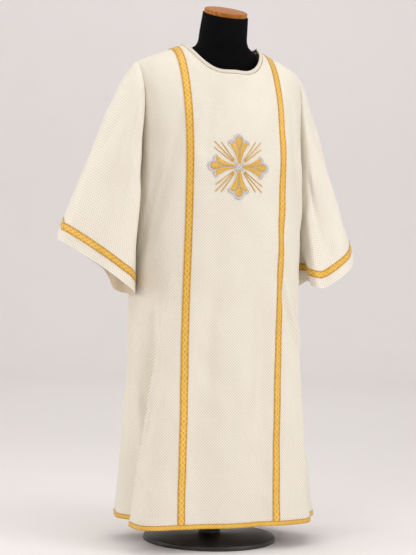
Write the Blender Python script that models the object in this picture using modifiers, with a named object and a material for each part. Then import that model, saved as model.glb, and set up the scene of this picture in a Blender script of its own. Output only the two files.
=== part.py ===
"""Dalmatic on a limbless dress form.

A cream brocade dalmatic (front, back, two wide sleeves, rolled neck binding, gold galloons and an
applique cross) hangs on a black dress form with a wooden neck cap, a pole and a round foot.
Metres, +Z up. The origin is the centre of the foot's underside. The garment faces -Y, so the
wearer's right is -X.
"""
import math
from collections import namedtuple

import bpy
import numpy as np
from mathutils.bvhtree import BVHTree

NAME = "dalmatic_on_dress_form"

# Cloth
WALL = 0.002                 # brocade wall
GALLOON_WALL = 0.001
SEAM_GAP = 0.0003            # between pieces at a seam, and under what lies on a panel
GALLOON_WIDTH = 0.020
HEM_GALLOON_WIDTH = 0.0125

# Body of the garment
HEM_HEIGHT = 0.062
UNDERARM_HEIGHT = 0.968
NECK_POINT_HEIGHT = 1.340    # where the shoulder seam meets the neckline
NECK_HALF_WIDTH = 0.115
SHOULDER_HALF_WIDTH = 0.235
SHOULDER_FALL = 0.43         # drop of the shoulder line per metre outwards
RIDGE_ROUNDING = 0.030
SHOULDER_END_ROUNDING = 0.45 # how much fuller the shoulder's curve is at the armhole
RIDGE_Y = 0.020              # the shoulder line lies a little behind the pole
BAND_CENTRE = 0.135          # middle of a vertical galloon from the centre line
ARMHOLE_PULL = 0.062         # how far the armhole cuts into the panel's width
FRONT_NECK_ANGLE = 45.0      # how far up the shoulder curve the neckline lies, degrees
BACK_NECK_ANGLE = 66.0
NECK_SQUARENESS = 2.7        # exponent of the neckline's curve
HEM_DRIFT = -0.016           # how far the front's middle hangs to the wearer's right at the hem
SQUARENESS = 2.5             # exponent of the body's oval sections
QUARTER = 180                # points on a quarter of a section before the columns are picked
TANGENT_REACH = 3            # points to each side that give a section's direction

# Binding of the neck
BINDING_WIDTH = 0.011
BINDING_HEIGHT = 0.0045
BINDING_GAP = 0.0009         # to the panels' edges, wider for the turn at the neck point

# Sleeves
SLEEVE_SQUARENESS = 2.8
SLEEVE_END = 0.110           # how far the sleeve keeps its direction before the hem
SLEEVE_GALLOON_RISE = 0.028  # from the hem edge to the galloon
SLEEVE_ROWS = 8
SLEEVE_SAMPLES = 61          # points along the sleeve before the rows are picked
# Which way the sleeve leaves the armhole: sideways at its front and back, more of it on top, less
# underneath; forwards and backwards; and downwards on top, underneath and at its front and back.
LEAVE_SIDE, LEAVE_SIDE_TOP, LEAVE_SIDE_UNDER = 0.34, 0.50, 0.14
LEAVE_FORWARD = 0.80
LEAVE_DOWN_TOP, LEAVE_DOWN_UNDER, LEAVE_DOWN_FRONT = 0.36, 1.0, 0.35

# Applique cross
CROSS_HEIGHT = 1.006         # height of its middle
CROSS_REACH = 0.0873         # from its middle to the tip of an arm
CROSS_GAP = 0.0006
CROSS_WALL = 0.0012

# Dress form
POLE_RADIUS = 0.014
FOOT_RADIUS = 0.180
FOOT_RIM = 0.012
FOOT_HUB_RADIUS = 0.030
FOOT_HUB_HEIGHT = 0.034
FOOT_HUB_EDGE = 0.003
FOOT_RIM_EDGE = 0.005
FOOT_FILLET = (0.008, 0.004, 0.010)   # out from the hub, and the two heights above the rim
CAP_RADIUS = 0.059
CAP_THICKNESS = 0.012
CAP_EDGE = 0.003
CAP_TILT = 20.0              # the neck's top leans forward, degrees
CAP_CENTRE = (0.0, -0.0235, 1.4275)

GARMENT_BACK = 1
GARMENT_FRONT = -1
WEARERS_RIGHT = -1
WEARERS_LEFT = 1

# Oval sections of the body: how far its front, its back and its sides stand from the pole, and
# where its side seam lies.
Section = namedtuple("Section", "height half_width front back seam_y")
SECTIONS = (
    Section(HEM_HEIGHT, 0.275, 0.196, 0.172, -0.018),
    Section(0.250, 0.256, 0.180, 0.168, -0.005),
    Section(0.450, 0.243, 0.167, 0.171, 0.005),
    Section(0.650, 0.236, 0.158, 0.173, 0.010),
    Section(UNDERARM_HEIGHT, 0.233, 0.153, 0.160, 0.015),
)

# Folds of the skirt. Around is in degrees from the front's middle, positive to the wearer's left,
# 180 at the back's middle. Depth is outwards at the hem, and each fold dies out at its top.
Fold = namedtuple("Fold", "around spread depth top drift")
BODY_FOLDS = (
    Fold(-34.0, 14.0, 0.036, 0.82, -22.0),
    Fold(-57.0, 12.0, -0.054, 0.84, -36.0),
    Fold(-108.0, 16.0, -0.012, 0.80, 0.0),
    Fold(-20.0, 11.0, -0.010, 0.90, 8.0),
    Fold(14.0, 9.0, -0.014, 0.80, -4.0),
    Fold(42.0, 12.0, 0.012, 0.70, 6.0),
    Fold(66.0, 10.0, -0.022, 0.72, 8.0),
    Fold(88.0, 13.0, 0.020, 0.60, 0.0),
    Fold(113.0, 11.0, -0.030, 0.74, 0.0),
    Fold(138.0, 12.0, 0.026, 0.82, -6.0),
    Fold(162.0, 10.0, -0.028, 0.90, -4.0),
    Fold(184.0, 11.0, 0.024, 0.86, 3.0),
    Fold(207.0, 10.0, -0.030, 0.78, 6.0),
    Fold(229.0, 12.0, 0.014, 0.88, 0.0),
)

# Each sleeve, measured as for the wearer's left: the middle of its hem, the reach from there to
# its outer corner, its half depth, how far the hem lifts beside the body, how far its front corner
# there moves outwards, how far the hem sags between, how far its back lifts, how flat its outer
# edge is pinched, how far its top and its front and back keep their direction below the shoulder,
# how steeply it droops at the hem, and its folds by the angle round the hem: 0 outer corner,
# 90 front, 180 by the body, 270 back.
SleeveFold = namedtuple("SleeveFold", "around spread depth start")
SleeveShape = namedtuple("SleeveShape", (
    "hem_centre", "hem_reach", "hem_half_depth", "inner_lift", "inner_shift", "sag", "back_lift", "pinch",
    "top_hold", "side_hold", "droop", "folds"))
RIGHT_SLEEVE = SleeveShape(
    (0.342, 0.006, 0.733), (0.101, 0.010, 0.069), 0.088, 0.0, 0.0, 0.006, 0.036, 0.60, 0.038, 0.090, 0.10, (
        SleeveFold(52.0, 22.0, -0.007, 0.35),
        SleeveFold(96.0, 20.0, 0.008, 0.45),
        SleeveFold(218.0, 22.0, -0.014, 0.40),
        SleeveFold(262.0, 22.0, 0.010, 0.35),
        SleeveFold(312.0, 20.0, -0.008, 0.30),
    ))
LEFT_SLEEVE = SleeveShape(
    (0.334, 0.030, 0.731), (0.097, 0.004, 0.056), 0.090, 0.036, 0.030, 0.023, 0.0, 0.55, 0.004, 0.036, 0.0, (
        SleeveFold(60.0, 24.0, 0.005, 0.40),
        SleeveFold(100.0, 18.0, -0.007, 0.35),
        SleeveFold(140.0, 18.0, 0.010, 0.45),
        SleeveFold(228.0, 22.0, -0.013, 0.35),
        SleeveFold(285.0, 24.0, 0.010, 0.40),
    ))

# Where the panel's rows lie above the hem's galloon, as shares of the way to the underarm, and
# above the underarm, as shares of the way to the neckline or the shoulder.
SKIRT_ROWS = (0.08, 0.17, 0.27, 0.38, 0.50, 0.62, 0.75, 0.88, 1.0)
SHOULDER_ROWS = (0.13, 0.26, 0.38, 0.50, 0.61, 0.71, 0.80, 0.88, 0.95, 1.0)
NECK_STEPS = 5               # columns from the centre line to the neck point
NECK_CROWDING = 2.3          # how much closer they lie near the neck point
OUTER_SHARES = (0.16, 0.34, 0.52, 0.69, 0.84, 0.95, 1.0)   # columns from the galloon to the side

# Half outline of one arm of the cross, from the middle outwards, as shares of its reach.
ArmStation = namedtuple("ArmStation", "along half_width")
CROSS_ARM = (
    ArmStation(0.12, 0.075),
    ArmStation(0.24, 0.125),
    ArmStation(0.38, 0.185),
    ArmStation(0.50, 0.250),
    ArmStation(0.60, 0.350),
    ArmStation(0.70, 0.400),
    ArmStation(0.76, 0.330),
    ArmStation(0.80, 0.200),
    ArmStation(0.90, 0.165),
    ArmStation(0.965, 0.105),
    ArmStation(1.0, 0.030),
)

# Sections of the form, from the bottom of the torso to the neck.
FormRing = namedtuple("FormRing", "height half_width half_depth centre_y tilt")
FORM_RINGS = (
    FormRing(0.660, 0.150, 0.098, 0.005, 0.0),
    FormRing(0.700, 0.168, 0.110, 0.005, 0.0),
    FormRing(0.780, 0.178, 0.118, 0.005, 0.0),
    FormRing(0.860, 0.162, 0.108, 0.005, 0.0),
    FormRing(0.930, 0.152, 0.100, 0.005, 0.0),
    FormRing(1.020, 0.168, 0.106, 0.004, 0.0),
    FormRing(1.100, 0.182, 0.108, 0.004, 0.0),
    FormRing(1.170, 0.188, 0.100, 0.006, 0.0),
    FormRing(1.235, 0.187, 0.084, 0.010, 0.0),
    FormRing(1.271, 0.179, 0.070, 0.015, 0.0),
    FormRing(1.295, 0.162, 0.062, 0.016, 0.0),
    FormRing(1.312, 0.135, 0.060, 0.014, 0.0),
    FormRing(1.325, 0.106, 0.060, 0.008, 0.0),
    FormRing(1.337, 0.080, 0.0630, 0.001, 0.0),
    FormRing(1.355, 0.067, 0.0640, -0.005, 0.0),
    FormRing(1.385, 0.0640, 0.0640, -0.012, 7.0),
    FormRing(1.4270, 0.0610, 0.0610, -0.0235, CAP_TILT),
)
FORM_SIDES = 24
FORM_SQUARENESS = 2.2


def clear_scene():
    """Remove what the opened file holds."""
    for thing in list(bpy.data.objects):
        bpy.data.objects.remove(thing, do_unlink=True)


def finish(name, colour, roughness, metallic=0.0):
    """A plain material with the piece's colour."""
    material = bpy.data.materials.new(name)
    material.use_nodes = True
    shader = material.node_tree.nodes["Principled BSDF"]
    shader.inputs["Base Color"].default_value = (*colour, 1.0)
    shader.inputs["Roughness"].default_value = roughness
    shader.inputs["Metallic"].default_value = metallic
    return material


def add_object(name, mesh, material, parts):
    """Put a mesh in the scene as one piece."""
    piece = bpy.data.objects.new(name, mesh)
    mesh.materials.append(material)
    parts.objects.link(piece)
    return piece


# ---------------------------------------------------------------- shared geometry

def unit(vectors):
    """Vectors scaled to length one."""
    return vectors / np.linalg.norm(vectors, axis=-1, keepdims=True)


def signed_power(value, power):
    """A power that keeps the sign, for squarish ovals."""
    return np.sign(value) * np.abs(value) ** power


def smooth_step(share):
    """An ease from 0 to 1."""
    share = np.clip(share, 0.0, 1.0)
    return share * share * (3.0 - 2.0 * share)


def grid_faces(rows, columns, wrap=False):
    """Triangles of a grid of points, closed sideways when wrap is set, all cut the same way."""
    faces = []
    for row in range(rows - 1):
        for column in range(columns if wrap else columns - 1):
            beside = (column + 1) % columns
            here, right = row * columns + column, row * columns + beside
            above, across = here + columns, right + columns
            faces.append((here, right, across))
            faces.append((here, across, above))
    return faces


def grid_normals(grid, wrap=False):
    """Normals of a grid of points, along rows crossed with up the columns."""
    if wrap:
        along = np.roll(grid, -1, axis=1) - np.roll(grid, 1, axis=1)
    else:
        along = np.gradient(grid, axis=1)
    up = np.gradient(grid, axis=0)
    return unit(np.cross(along, up))


def wall_mesh(name, outer, inner, faces):
    """Close the space between two skins with the same faces, and a rim along their open edges."""
    count = len(outer)
    used = {}
    for face in faces:
        for start, end in zip(face, face[1:] + face[:1]):
            used[(start, end)] = True
    rims = [(end, start, start + count, end + count)
            for start, end in used if (end, start) not in used]
    under = [tuple(index + count for index in reversed(face)) for face in faces]
    mesh = bpy.data.meshes.new(name)
    mesh.from_pydata([tuple(point) for point in outer] + [tuple(point) for point in inner],
                     [], faces + under + rims)
    mesh.update()
    mesh.shade_smooth()
    mesh.set_sharp_from_angle(angle=math.radians(50.0))
    return mesh


def grid_wall(name, grid, normals, thickness, lift=0.0, wrap=False, flip=False):
    """A wall from a grid: outer skin lifted by lift, thickness below it when lift is nought."""
    if lift:
        outer = grid + normals * (lift + thickness)
        inner = grid + normals * lift
    else:
        outer = grid
        inner = grid - normals * thickness
    faces = grid_faces(grid.shape[0], grid.shape[1], wrap)
    if flip:
        faces = [tuple(reversed(face)) for face in faces]
    return wall_mesh(name, outer.reshape(-1, 3), inner.reshape(-1, 3), faces)


# ---------------------------------------------------------------- the body of the garment

def section_at(height):
    """The oval section's sizes at a height."""
    heights = [section.height for section in SECTIONS]
    return Section(height, *(np.interp(height, heights, [getattr(section, field) for section in SECTIONS])
                             for field in Section._fields[1:]))


def fold_push(around, height):
    """How far the folds push the section out, by the angle around it."""
    push = np.zeros_like(around)
    for fold in BODY_FOLDS:
        growth = smooth_step((fold.top - height) / (fold.top - HEM_HEIGHT))
        middle = fold.around + fold.drift * (fold.top - height)
        away = (around - middle + 180.0) % 360.0 - 180.0
        push += fold.depth * growth * np.exp(-(away / fold.spread) ** 2)
    return push


def half_section(height, side):
    """Points from the wearer's right side seam to the left one, along the front or the back."""
    size = section_at(height)
    around = np.radians(np.linspace(-180.0, 180.0, 4 * QUARTER + 1))
    depth = np.where(np.cos(around) > 0.0, size.front + size.seam_y, size.back - size.seam_y)
    x = size.half_width * signed_power(np.sin(around), 2.0 / SQUARENESS)
    y = size.seam_y - depth * signed_power(np.cos(around), 2.0 / SQUARENESS)
    loop = np.stack([x, y], axis=1)[:-1]
    tangent = unit(np.roll(loop, -TANGENT_REACH, axis=0) - np.roll(loop, TANGENT_REACH, axis=0))
    outward = np.stack([tangent[:, 1], -tangent[:, 0]], axis=1)
    loop = loop + outward * fold_push(np.degrees(around[:-1]), height)[:, None]
    if side == GARMENT_FRONT:
        return loop[QUARTER:3 * QUARTER + 1]
    return np.concatenate([loop[3 * QUARTER:], loop[:QUARTER + 1]])[::-1]


def along_section(height, side, distances):
    """Points of a half section at cut distances from its middle."""
    line = half_section(height, side)
    steps = np.linalg.norm(np.diff(line, axis=0), axis=1)
    lengths = np.concatenate([[0.0], np.cumsum(steps)])
    middle = lengths[len(lengths) // 2]
    return np.stack([np.interp(distances + middle, lengths, line[:, axis]) for axis in (0, 1)], axis=1)


def half_length(height, side):
    """Cut distances from the middle of a half section to its two side seams."""
    line = half_section(height, side)
    steps = np.linalg.norm(np.diff(line, axis=0), axis=1)
    half = len(steps) // 2
    return steps[:half].sum(), steps[half:].sum()


def column_distances(to_right, to_left, drift=0.0):
    """Cut distances of a panel's columns, from the wearer's right edge to the left one."""
    neck = [NECK_HALF_WIDTH * (1.0 - (1.0 - step / NECK_STEPS) ** NECK_CROWDING)
            for step in range(NECK_STEPS + 1)]
    galloon = [BAND_CENTRE - GALLOON_WIDTH / 2.0, BAND_CENTRE + GALLOON_WIDTH / 2.0]
    halves = []
    for reach in (to_right + drift, to_left - drift):
        outer = [galloon[1] + share * (reach - galloon[1]) for share in OUTER_SHARES]
        halves.append(neck[1:] + galloon + outer)
    return np.array([-distance for distance in reversed(halves[0])] + [0.0] + halves[1]) + drift


def galloon_columns(wearer_side):
    """The two columns of a panel that edge its vertical galloon."""
    middle = NECK_STEPS + 2 + len(OUTER_SHARES)
    first = middle + wearer_side * (NECK_STEPS + 1)
    return sorted((first, first + wearer_side))


def ridge_height(x):
    """Height of the shoulder line, carried on as a soft hump over the neck opening."""
    fall = np.hypot(x, RIDGE_ROUNDING) - math.hypot(NECK_HALF_WIDTH, RIDGE_ROUNDING)
    return NECK_POINT_HEIGHT - SHOULDER_FALL * fall


def skirt_row(height, side):
    """One level row of a panel below the underarm."""
    to_right, to_left = half_length(height, side)
    trim = SEAM_GAP / 2.0
    drift = 0.0
    if side == GARMENT_FRONT:
        drift = HEM_DRIFT * smooth_step((UNDERARM_HEIGHT - height) / (UNDERARM_HEIGHT - HEM_HEIGHT))
    plan = along_section(height, side, column_distances(to_right - trim, to_left - trim, drift))
    return np.column_stack([plan, np.full(len(plan), height)])


def shoulder_row(share, side):
    """One row of a panel above the underarm, on a quarter oval from the chest to the shoulder."""
    to_right, to_left = half_length(UNDERARM_HEIGHT, side)
    trim = SEAM_GAP / 2.0
    pull = trim + ARMHOLE_PULL * math.sin(math.pi * share)
    distances = column_distances(to_right - pull, to_left - pull)
    plan = along_section(UNDERARM_HEIGHT, side, distances)
    fixed = BAND_CENTRE + GALLOON_WIDTH / 2.0
    reach = np.where(distances < 0.0, to_right, to_left) - pull
    beyond = np.clip((np.abs(distances) - fixed) / (reach - fixed), 0.0, 1.0)
    level = np.where(np.abs(distances) < fixed, plan[:, 0],
                     np.sign(distances) * (fixed + beyond * (SHOULDER_HALF_WIDTH - fixed)))
    neck_angle = FRONT_NECK_ANGLE if side == GARMENT_FRONT else BACK_NECK_ANGLE
    outwards = np.clip(np.abs(distances) / NECK_HALF_WIDTH, 0.0, 1.0)
    inside = (1.0 - outwards ** NECK_SQUARENESS) ** (1.0 / NECK_SQUARENESS)
    angle = share * np.arccos(math.cos(math.radians(neck_angle)) * inside)
    rounding = np.abs(np.cos(angle)) ** (1.0 - SHOULDER_END_ROUNDING * beyond)
    x = plan[:, 0] + (level - plan[:, 0]) * (1.0 - np.cos(angle))
    y = RIDGE_Y + (plan[:, 1] - RIDGE_Y) * rounding + side * trim * np.sin(angle)
    z = UNDERARM_HEIGHT + (ridge_height(level) - UNDERARM_HEIGHT) * np.sin(angle)
    return np.column_stack([x, y, z])


class Cloth:
    """A grid of points with its outward normals."""

    def __init__(self, grid, normals):
        self.grid = grid
        self.normals = normals


def panel(side):
    """The front or the back, from its hem row up to the neckline and the shoulder seam."""
    galloon_top = HEM_HEIGHT + HEM_GALLOON_WIDTH
    heights = [HEM_HEIGHT, galloon_top]
    heights += [galloon_top + share * (UNDERARM_HEIGHT - galloon_top) for share in SKIRT_ROWS]
    rows = [skirt_row(height, side) for height in heights]
    rows += [shoulder_row(share, side) for share in SHOULDER_ROWS]
    grid = np.array(rows)
    return Cloth(grid, -side * grid_normals(grid))


def match_normals(first, second):
    """Give two meeting edges one common direction, so that their rims run side by side."""
    shared = unit(first + second)
    first[:] = shared
    second[:] = shared


def join_panels(front, back):
    """Match the panels along the side seams and the shoulder seams."""
    below = len(SKIRT_ROWS) + 2
    outside = NECK_STEPS + 1
    middle = front.grid.shape[1] // 2
    for edge in (0, -1):
        match_normals(front.normals[:below, edge], back.normals[:below, edge])
    match_normals(front.normals[-1, :middle - outside + 2], back.normals[-1, :middle - outside + 2])
    match_normals(front.normals[-1, middle + outside - 1:], back.normals[-1, middle + outside - 1:])


# ---------------------------------------------------------------- sleeves

def armhole_ring(front, back, wearer_side):
    """Points of both panels round one armhole: down the front, then up the back."""
    edge = 0 if wearer_side == WEARERS_RIGHT else -1
    below = len(SKIRT_ROWS) + 1
    down = front[below:, edge][::-1]
    up = back[below:, edge]
    top = (down[0] + up[-1]) / 2.0
    bottom = (down[-1] + up[0]) / 2.0
    return np.concatenate([[top], down[1:-1], [bottom], up[1:-1]])


def sleeve_hem(shape, angles, wearer_side):
    """The hem's squarish oval, from its outer corner round the front to the body and the back."""
    outwards = np.array([wearer_side, 1.0, 1.0])
    along = signed_power(np.cos(angles), 2.0 / SLEEVE_SQUARENESS)
    across = signed_power(np.sin(angles), 2.0 / SLEEVE_SQUARENESS)
    outer = np.clip(np.cos(angles), 0.0, 1.0)
    inner = np.clip(-np.cos(angles), 0.0, 1.0)
    depth = shape.hem_half_depth * (1.0 - shape.pinch * outer ** 1.5)
    shift = shape.inner_shift * inner * np.sqrt(np.clip(np.sin(angles), 0.0, 1.0))
    rise = shape.inner_lift * inner ** 2 - shape.sag * (1.0 - along ** 2)
    behind = np.sqrt(np.clip(-np.sin(angles), 0.0, 1.0))
    rise = rise + shape.back_lift * behind * smooth_step((np.cos(angles) + 0.75) / 0.45)
    oval = np.array(shape.hem_centre) * outwards + along[:, None] * np.array(shape.hem_reach) * outwards
    return oval + np.column_stack([wearer_side * shift, -across * depth, rise])


def sleeve_directions(angles, wearer_side):
    """Which way the sleeve leaves the armhole: out over the shoulder, forwards, down, backwards."""
    over = np.maximum(np.cos(angles), 0.0)
    under = np.maximum(-np.cos(angles), 0.0)
    beside = np.abs(np.sin(angles))
    sideways = wearer_side * (LEAVE_SIDE + LEAVE_SIDE_TOP * over - LEAVE_SIDE_UNDER * under)
    down = LEAVE_DOWN_TOP * over + LEAVE_DOWN_UNDER * under + LEAVE_DOWN_FRONT * beside
    return unit(np.column_stack([sideways, -LEAVE_FORWARD * np.sin(angles), -down]))


def sleeve(front, back, wearer_side, shape):
    """A wide tube from the armhole to its slanted hem, with soft lengthwise folds."""
    ring = armhole_ring(front.grid, back.grid, wearer_side)
    ring = ring + np.array([wearer_side * SEAM_GAP, 0.0, 0.0])
    angles = np.linspace(0.0, 2.0 * math.pi, len(ring), endpoint=False)
    hem = sleeve_hem(shape, angles, wearer_side)
    hold = shape.top_hold + (shape.side_hold - shape.top_hold) * np.abs(np.sin(angles))
    start = ring + sleeve_directions(angles, wearer_side) * hold[:, None]
    fall = unit(hem - ring - np.array([0.0, 0.0, shape.droop]))
    end = hem - fall * SLEEVE_END
    way = np.linspace(0.0, 1.0, SLEEVE_SAMPLES)[:, None, None]
    dense = ((1 - way) ** 3 * ring + 3 * (1 - way) ** 2 * way * start
             + 3 * (1 - way) * way ** 2 * end + way ** 3 * hem)
    normals = wearer_side * grid_normals(dense, wrap=True)
    degrees = np.degrees(angles)
    for fold in shape.folds:
        away = (degrees - fold.around + 180.0) % 360.0 - 180.0
        growth = smooth_step((way[:, 0, 0] - fold.start) / (1.0 - fold.start))
        push = fold.depth * growth[:, None] * np.exp(-(away / fold.spread) ** 2)[None, :]
        dense = dense + normals * push[:, :, None]
    steps = np.linalg.norm(np.diff(dense, axis=0), axis=2)
    lengths = np.concatenate([np.zeros((1, len(ring))), np.cumsum(steps, axis=0)])
    grid = []
    for column in range(len(ring)):
        total = lengths[-1, column]
        galloon_top = total - SLEEVE_GALLOON_RISE - GALLOON_WIDTH
        stops = [galloon_top * row / SLEEVE_ROWS for row in range(SLEEVE_ROWS + 1)]
        stops += [total - SLEEVE_GALLOON_RISE, total]
        grid.append(np.stack([np.interp(stops, lengths[:, column], dense[:, column, axis])
                              for axis in range(3)], axis=1))
    grid = np.array(grid).transpose(1, 0, 2)
    return Cloth(grid, wearer_side * grid_normals(grid, wrap=True))


def join_sleeve(front, back, tube, wearer_side):
    """Where the sleeve folds down over the armhole edge, give both edges one direction."""
    edge = 0 if wearer_side == WEARERS_RIGHT else -1
    for step in range(1, len(SHOULDER_ROWS)):
        for piece, row, column in ((front, -1 - step, step), (back, -1 - step, -step)):
            ours = piece.normals[row, edge]
            theirs = tube.normals[0, column]
            if (theirs[0] - ours[0]) * wearer_side > 0.0:
                match_normals(ours, theirs)
    top = unit(front.normals[-1, edge] + tube.normals[0, 0])
    front.normals[-1, edge] = top
    back.normals[-1, edge] = top
    tube.normals[0, 0] = top


# ---------------------------------------------------------------- pieces of the garment

def galloon_strip(cloth, wearer_side):
    """A vertical galloon's points on its panel, from just above the hem's galloon to the shoulder."""
    first, last = galloon_columns(wearer_side)
    points = cloth.grid[1:, first:last + 1].copy()
    normals = cloth.normals[1:, first:last + 1]
    rise = points[1] - points[0]
    points[0] += unit(rise) * SEAM_GAP
    return points, normals


def binding_mesh(front, back):
    """The rolled band round the neck opening, a flat oval tube along the panels' neck edges."""
    middle = front.grid.shape[1] // 2
    inside = slice(middle - NECK_STEPS, middle + NECK_STEPS + 1)
    edge = np.concatenate([front.grid[-1, inside], back.grid[-1, inside][::-1][1:-1]])
    normals = np.concatenate([front.normals[-1, inside], back.normals[-1, inside][::-1][1:-1]])
    along = unit(np.roll(edge, -1, axis=0) - np.roll(edge, 1, axis=0))
    inwards = unit(np.cross(normals, along))
    inwards = inwards * np.sign(np.sum(inwards * (edge.mean(axis=0) - edge), axis=1))[:, None]
    up = unit(np.cross(along, inwards))
    up = up * np.sign(np.sum(up * normals, axis=1))[:, None]
    centre = edge + inwards * (BINDING_WIDTH / 2.0 + BINDING_GAP) - up * WALL / 2.0
    rings = []
    for turn in np.linspace(0.0, 2.0 * math.pi, 8, endpoint=False):
        rings.append(centre + inwards * BINDING_WIDTH / 2.0 * math.cos(turn)
                     + up * BINDING_HEIGHT / 2.0 * math.sin(turn))
    grid = np.array(rings)
    count = grid.shape[1]
    faces = []
    for row in range(len(rings)):
        for column in range(count):
            beside = (column + 1) % count
            above = (row + 1) % len(rings)
            faces.append((row * count + column, above * count + column,
                          above * count + beside, row * count + beside))
    mesh = bpy.data.meshes.new("neck_binding")
    mesh.from_pydata([tuple(point) for point in grid.reshape(-1, 3)], [], faces)
    mesh.update()
    mesh.shade_smooth()
    return mesh


def cross_outline():
    """The cross in its own plane: a middle point, and for each arm its rows of three points."""
    points = [(0.0, 0.0)]
    faces = []
    starts = []
    for arm in range(4):
        turn = math.pi / 2.0 * arm
        outwards = (math.sin(turn), math.cos(turn))
        sideways = (math.cos(turn), -math.sin(turn))
        first = len(points)
        starts.append(first)
        for station in CROSS_ARM:
            for part in (-1.0, 0.0, 1.0):
                points.append(tuple(CROSS_REACH * (station.along * outwards[axis]
                                                   + part * station.half_width * sideways[axis])
                                    for axis in (0, 1)))
        for row in range(len(CROSS_ARM) - 1):
            for column in (0, 1):
                corner = first + 3 * row + column
                faces.append((corner, corner + 1, corner + 4, corner + 3))
    for arm in range(4):
        here = starts[arm]
        beyond = starts[(arm + 1) % 4]
        faces.append((0, here + 1, here))
        faces.append((0, here + 2, here + 1))
        faces.append((0, beyond, here + 2))
    return points, faces


def cross_mesh(front):
    """The applique cross, laid on the front's points and moved out."""
    rows, columns, _ = front.grid.shape
    tree = BVHTree.FromPolygons([tuple(point) for point in front.grid.reshape(-1, 3)],
                                grid_faces(rows, columns))
    flat, faces = cross_outline()
    under = []
    over = []
    for x, rise in flat:
        hit, normal, _, _ = tree.ray_cast((x, -1.0, CROSS_HEIGHT + rise), (0.0, 1.0, 0.0))
        normal = normal if normal.y < 0.0 else -normal
        under.append(hit + normal * CROSS_GAP)
        over.append(hit + normal * (CROSS_GAP + CROSS_WALL))
    return wall_mesh("cross_applique", over, under, faces)


# ---------------------------------------------------------------- the dress form

def form_mesh():
    """Torso and neck as one smooth closed loft of ovals."""
    turns = np.linspace(0.0, 2.0 * math.pi, FORM_SIDES, endpoint=False)
    points = []
    for ring in FORM_RINGS:
        x = ring.half_width * signed_power(np.cos(turns), 2.0 / FORM_SQUARENESS)
        y = ring.half_depth * signed_power(np.sin(turns), 2.0 / FORM_SQUARENESS)
        lean = math.radians(ring.tilt)
        for across, depth in zip(x, y):
            points.append((across, ring.centre_y + depth * math.cos(lean),
                           ring.height + depth * math.sin(lean)))
    faces = grid_faces(len(FORM_RINGS), FORM_SIDES, wrap=True)
    faces.append(tuple(reversed(range(FORM_SIDES))))
    faces.append(tuple(range((len(FORM_RINGS) - 1) * FORM_SIDES, len(FORM_RINGS) * FORM_SIDES)))
    mesh = bpy.data.meshes.new("form_torso")
    mesh.from_pydata(points, [], faces)
    mesh.update()
    mesh.shade_smooth()
    mesh.set_sharp_from_angle(angle=math.radians(50.0))
    return mesh


def turned(name, profile, material, parts, steps=48):
    """A turned piece: its outer profile, top to bottom, spun round Z."""
    mesh = bpy.data.meshes.new(name)
    mesh.from_pydata([(radius, 0.0, height) for radius, height in profile],
                     [(index, index + 1) for index in range(len(profile) - 1)], [])
    piece = add_object(name, mesh, material, parts)
    screw = piece.modifiers.new("turn", "SCREW")
    screw.steps = steps
    screw.render_steps = steps
    screw.use_merge_vertices = True
    screw.merge_threshold = 0.0001
    screw.use_smooth_shade = True
    return piece


def neck_cap(material, parts):
    """The wooden disc on the neck, leaning forward with it."""
    edge = CAP_EDGE
    profile = [(0.0, CAP_THICKNESS), (CAP_RADIUS - edge, CAP_THICKNESS),
               (CAP_RADIUS - edge * 0.3, CAP_THICKNESS - edge * 0.3), (CAP_RADIUS, CAP_THICKNESS - edge),
               (CAP_RADIUS, edge), (CAP_RADIUS - edge, 0.0), (0.0, 0.0)]
    cap = turned("neck_cap", profile, material, parts)
    cap.location = CAP_CENTRE
    cap.rotation_euler = (math.radians(CAP_TILT), 0.0, 0.0)
    return cap


def stand(material, parts):
    """The pole under the torso and the round foot."""
    foot_top = FOOT_HUB_HEIGHT + SEAM_GAP
    pole_top = FORM_RINGS[0].height - SEAM_GAP
    turned("stand_pole", [(0.0, pole_top), (POLE_RADIUS, pole_top),
                          (POLE_RADIUS, foot_top), (0.0, foot_top)], material, parts, steps=24)
    hub, edge = FOOT_HUB_RADIUS, FOOT_HUB_EDGE
    out, low, high = FOOT_FILLET
    turned("stand_foot", [(0.0, FOOT_HUB_HEIGHT), (hub - edge, FOOT_HUB_HEIGHT),
                          (hub, FOOT_HUB_HEIGHT - edge), (hub, FOOT_RIM + high), (hub + out, FOOT_RIM + low),
                          (FOOT_RADIUS - FOOT_RIM_EDGE, FOOT_RIM), (FOOT_RADIUS, FOOT_RIM - FOOT_RIM_EDGE),
                          (FOOT_RADIUS, 0.0), (0.0, 0.0)], material, parts)


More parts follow.
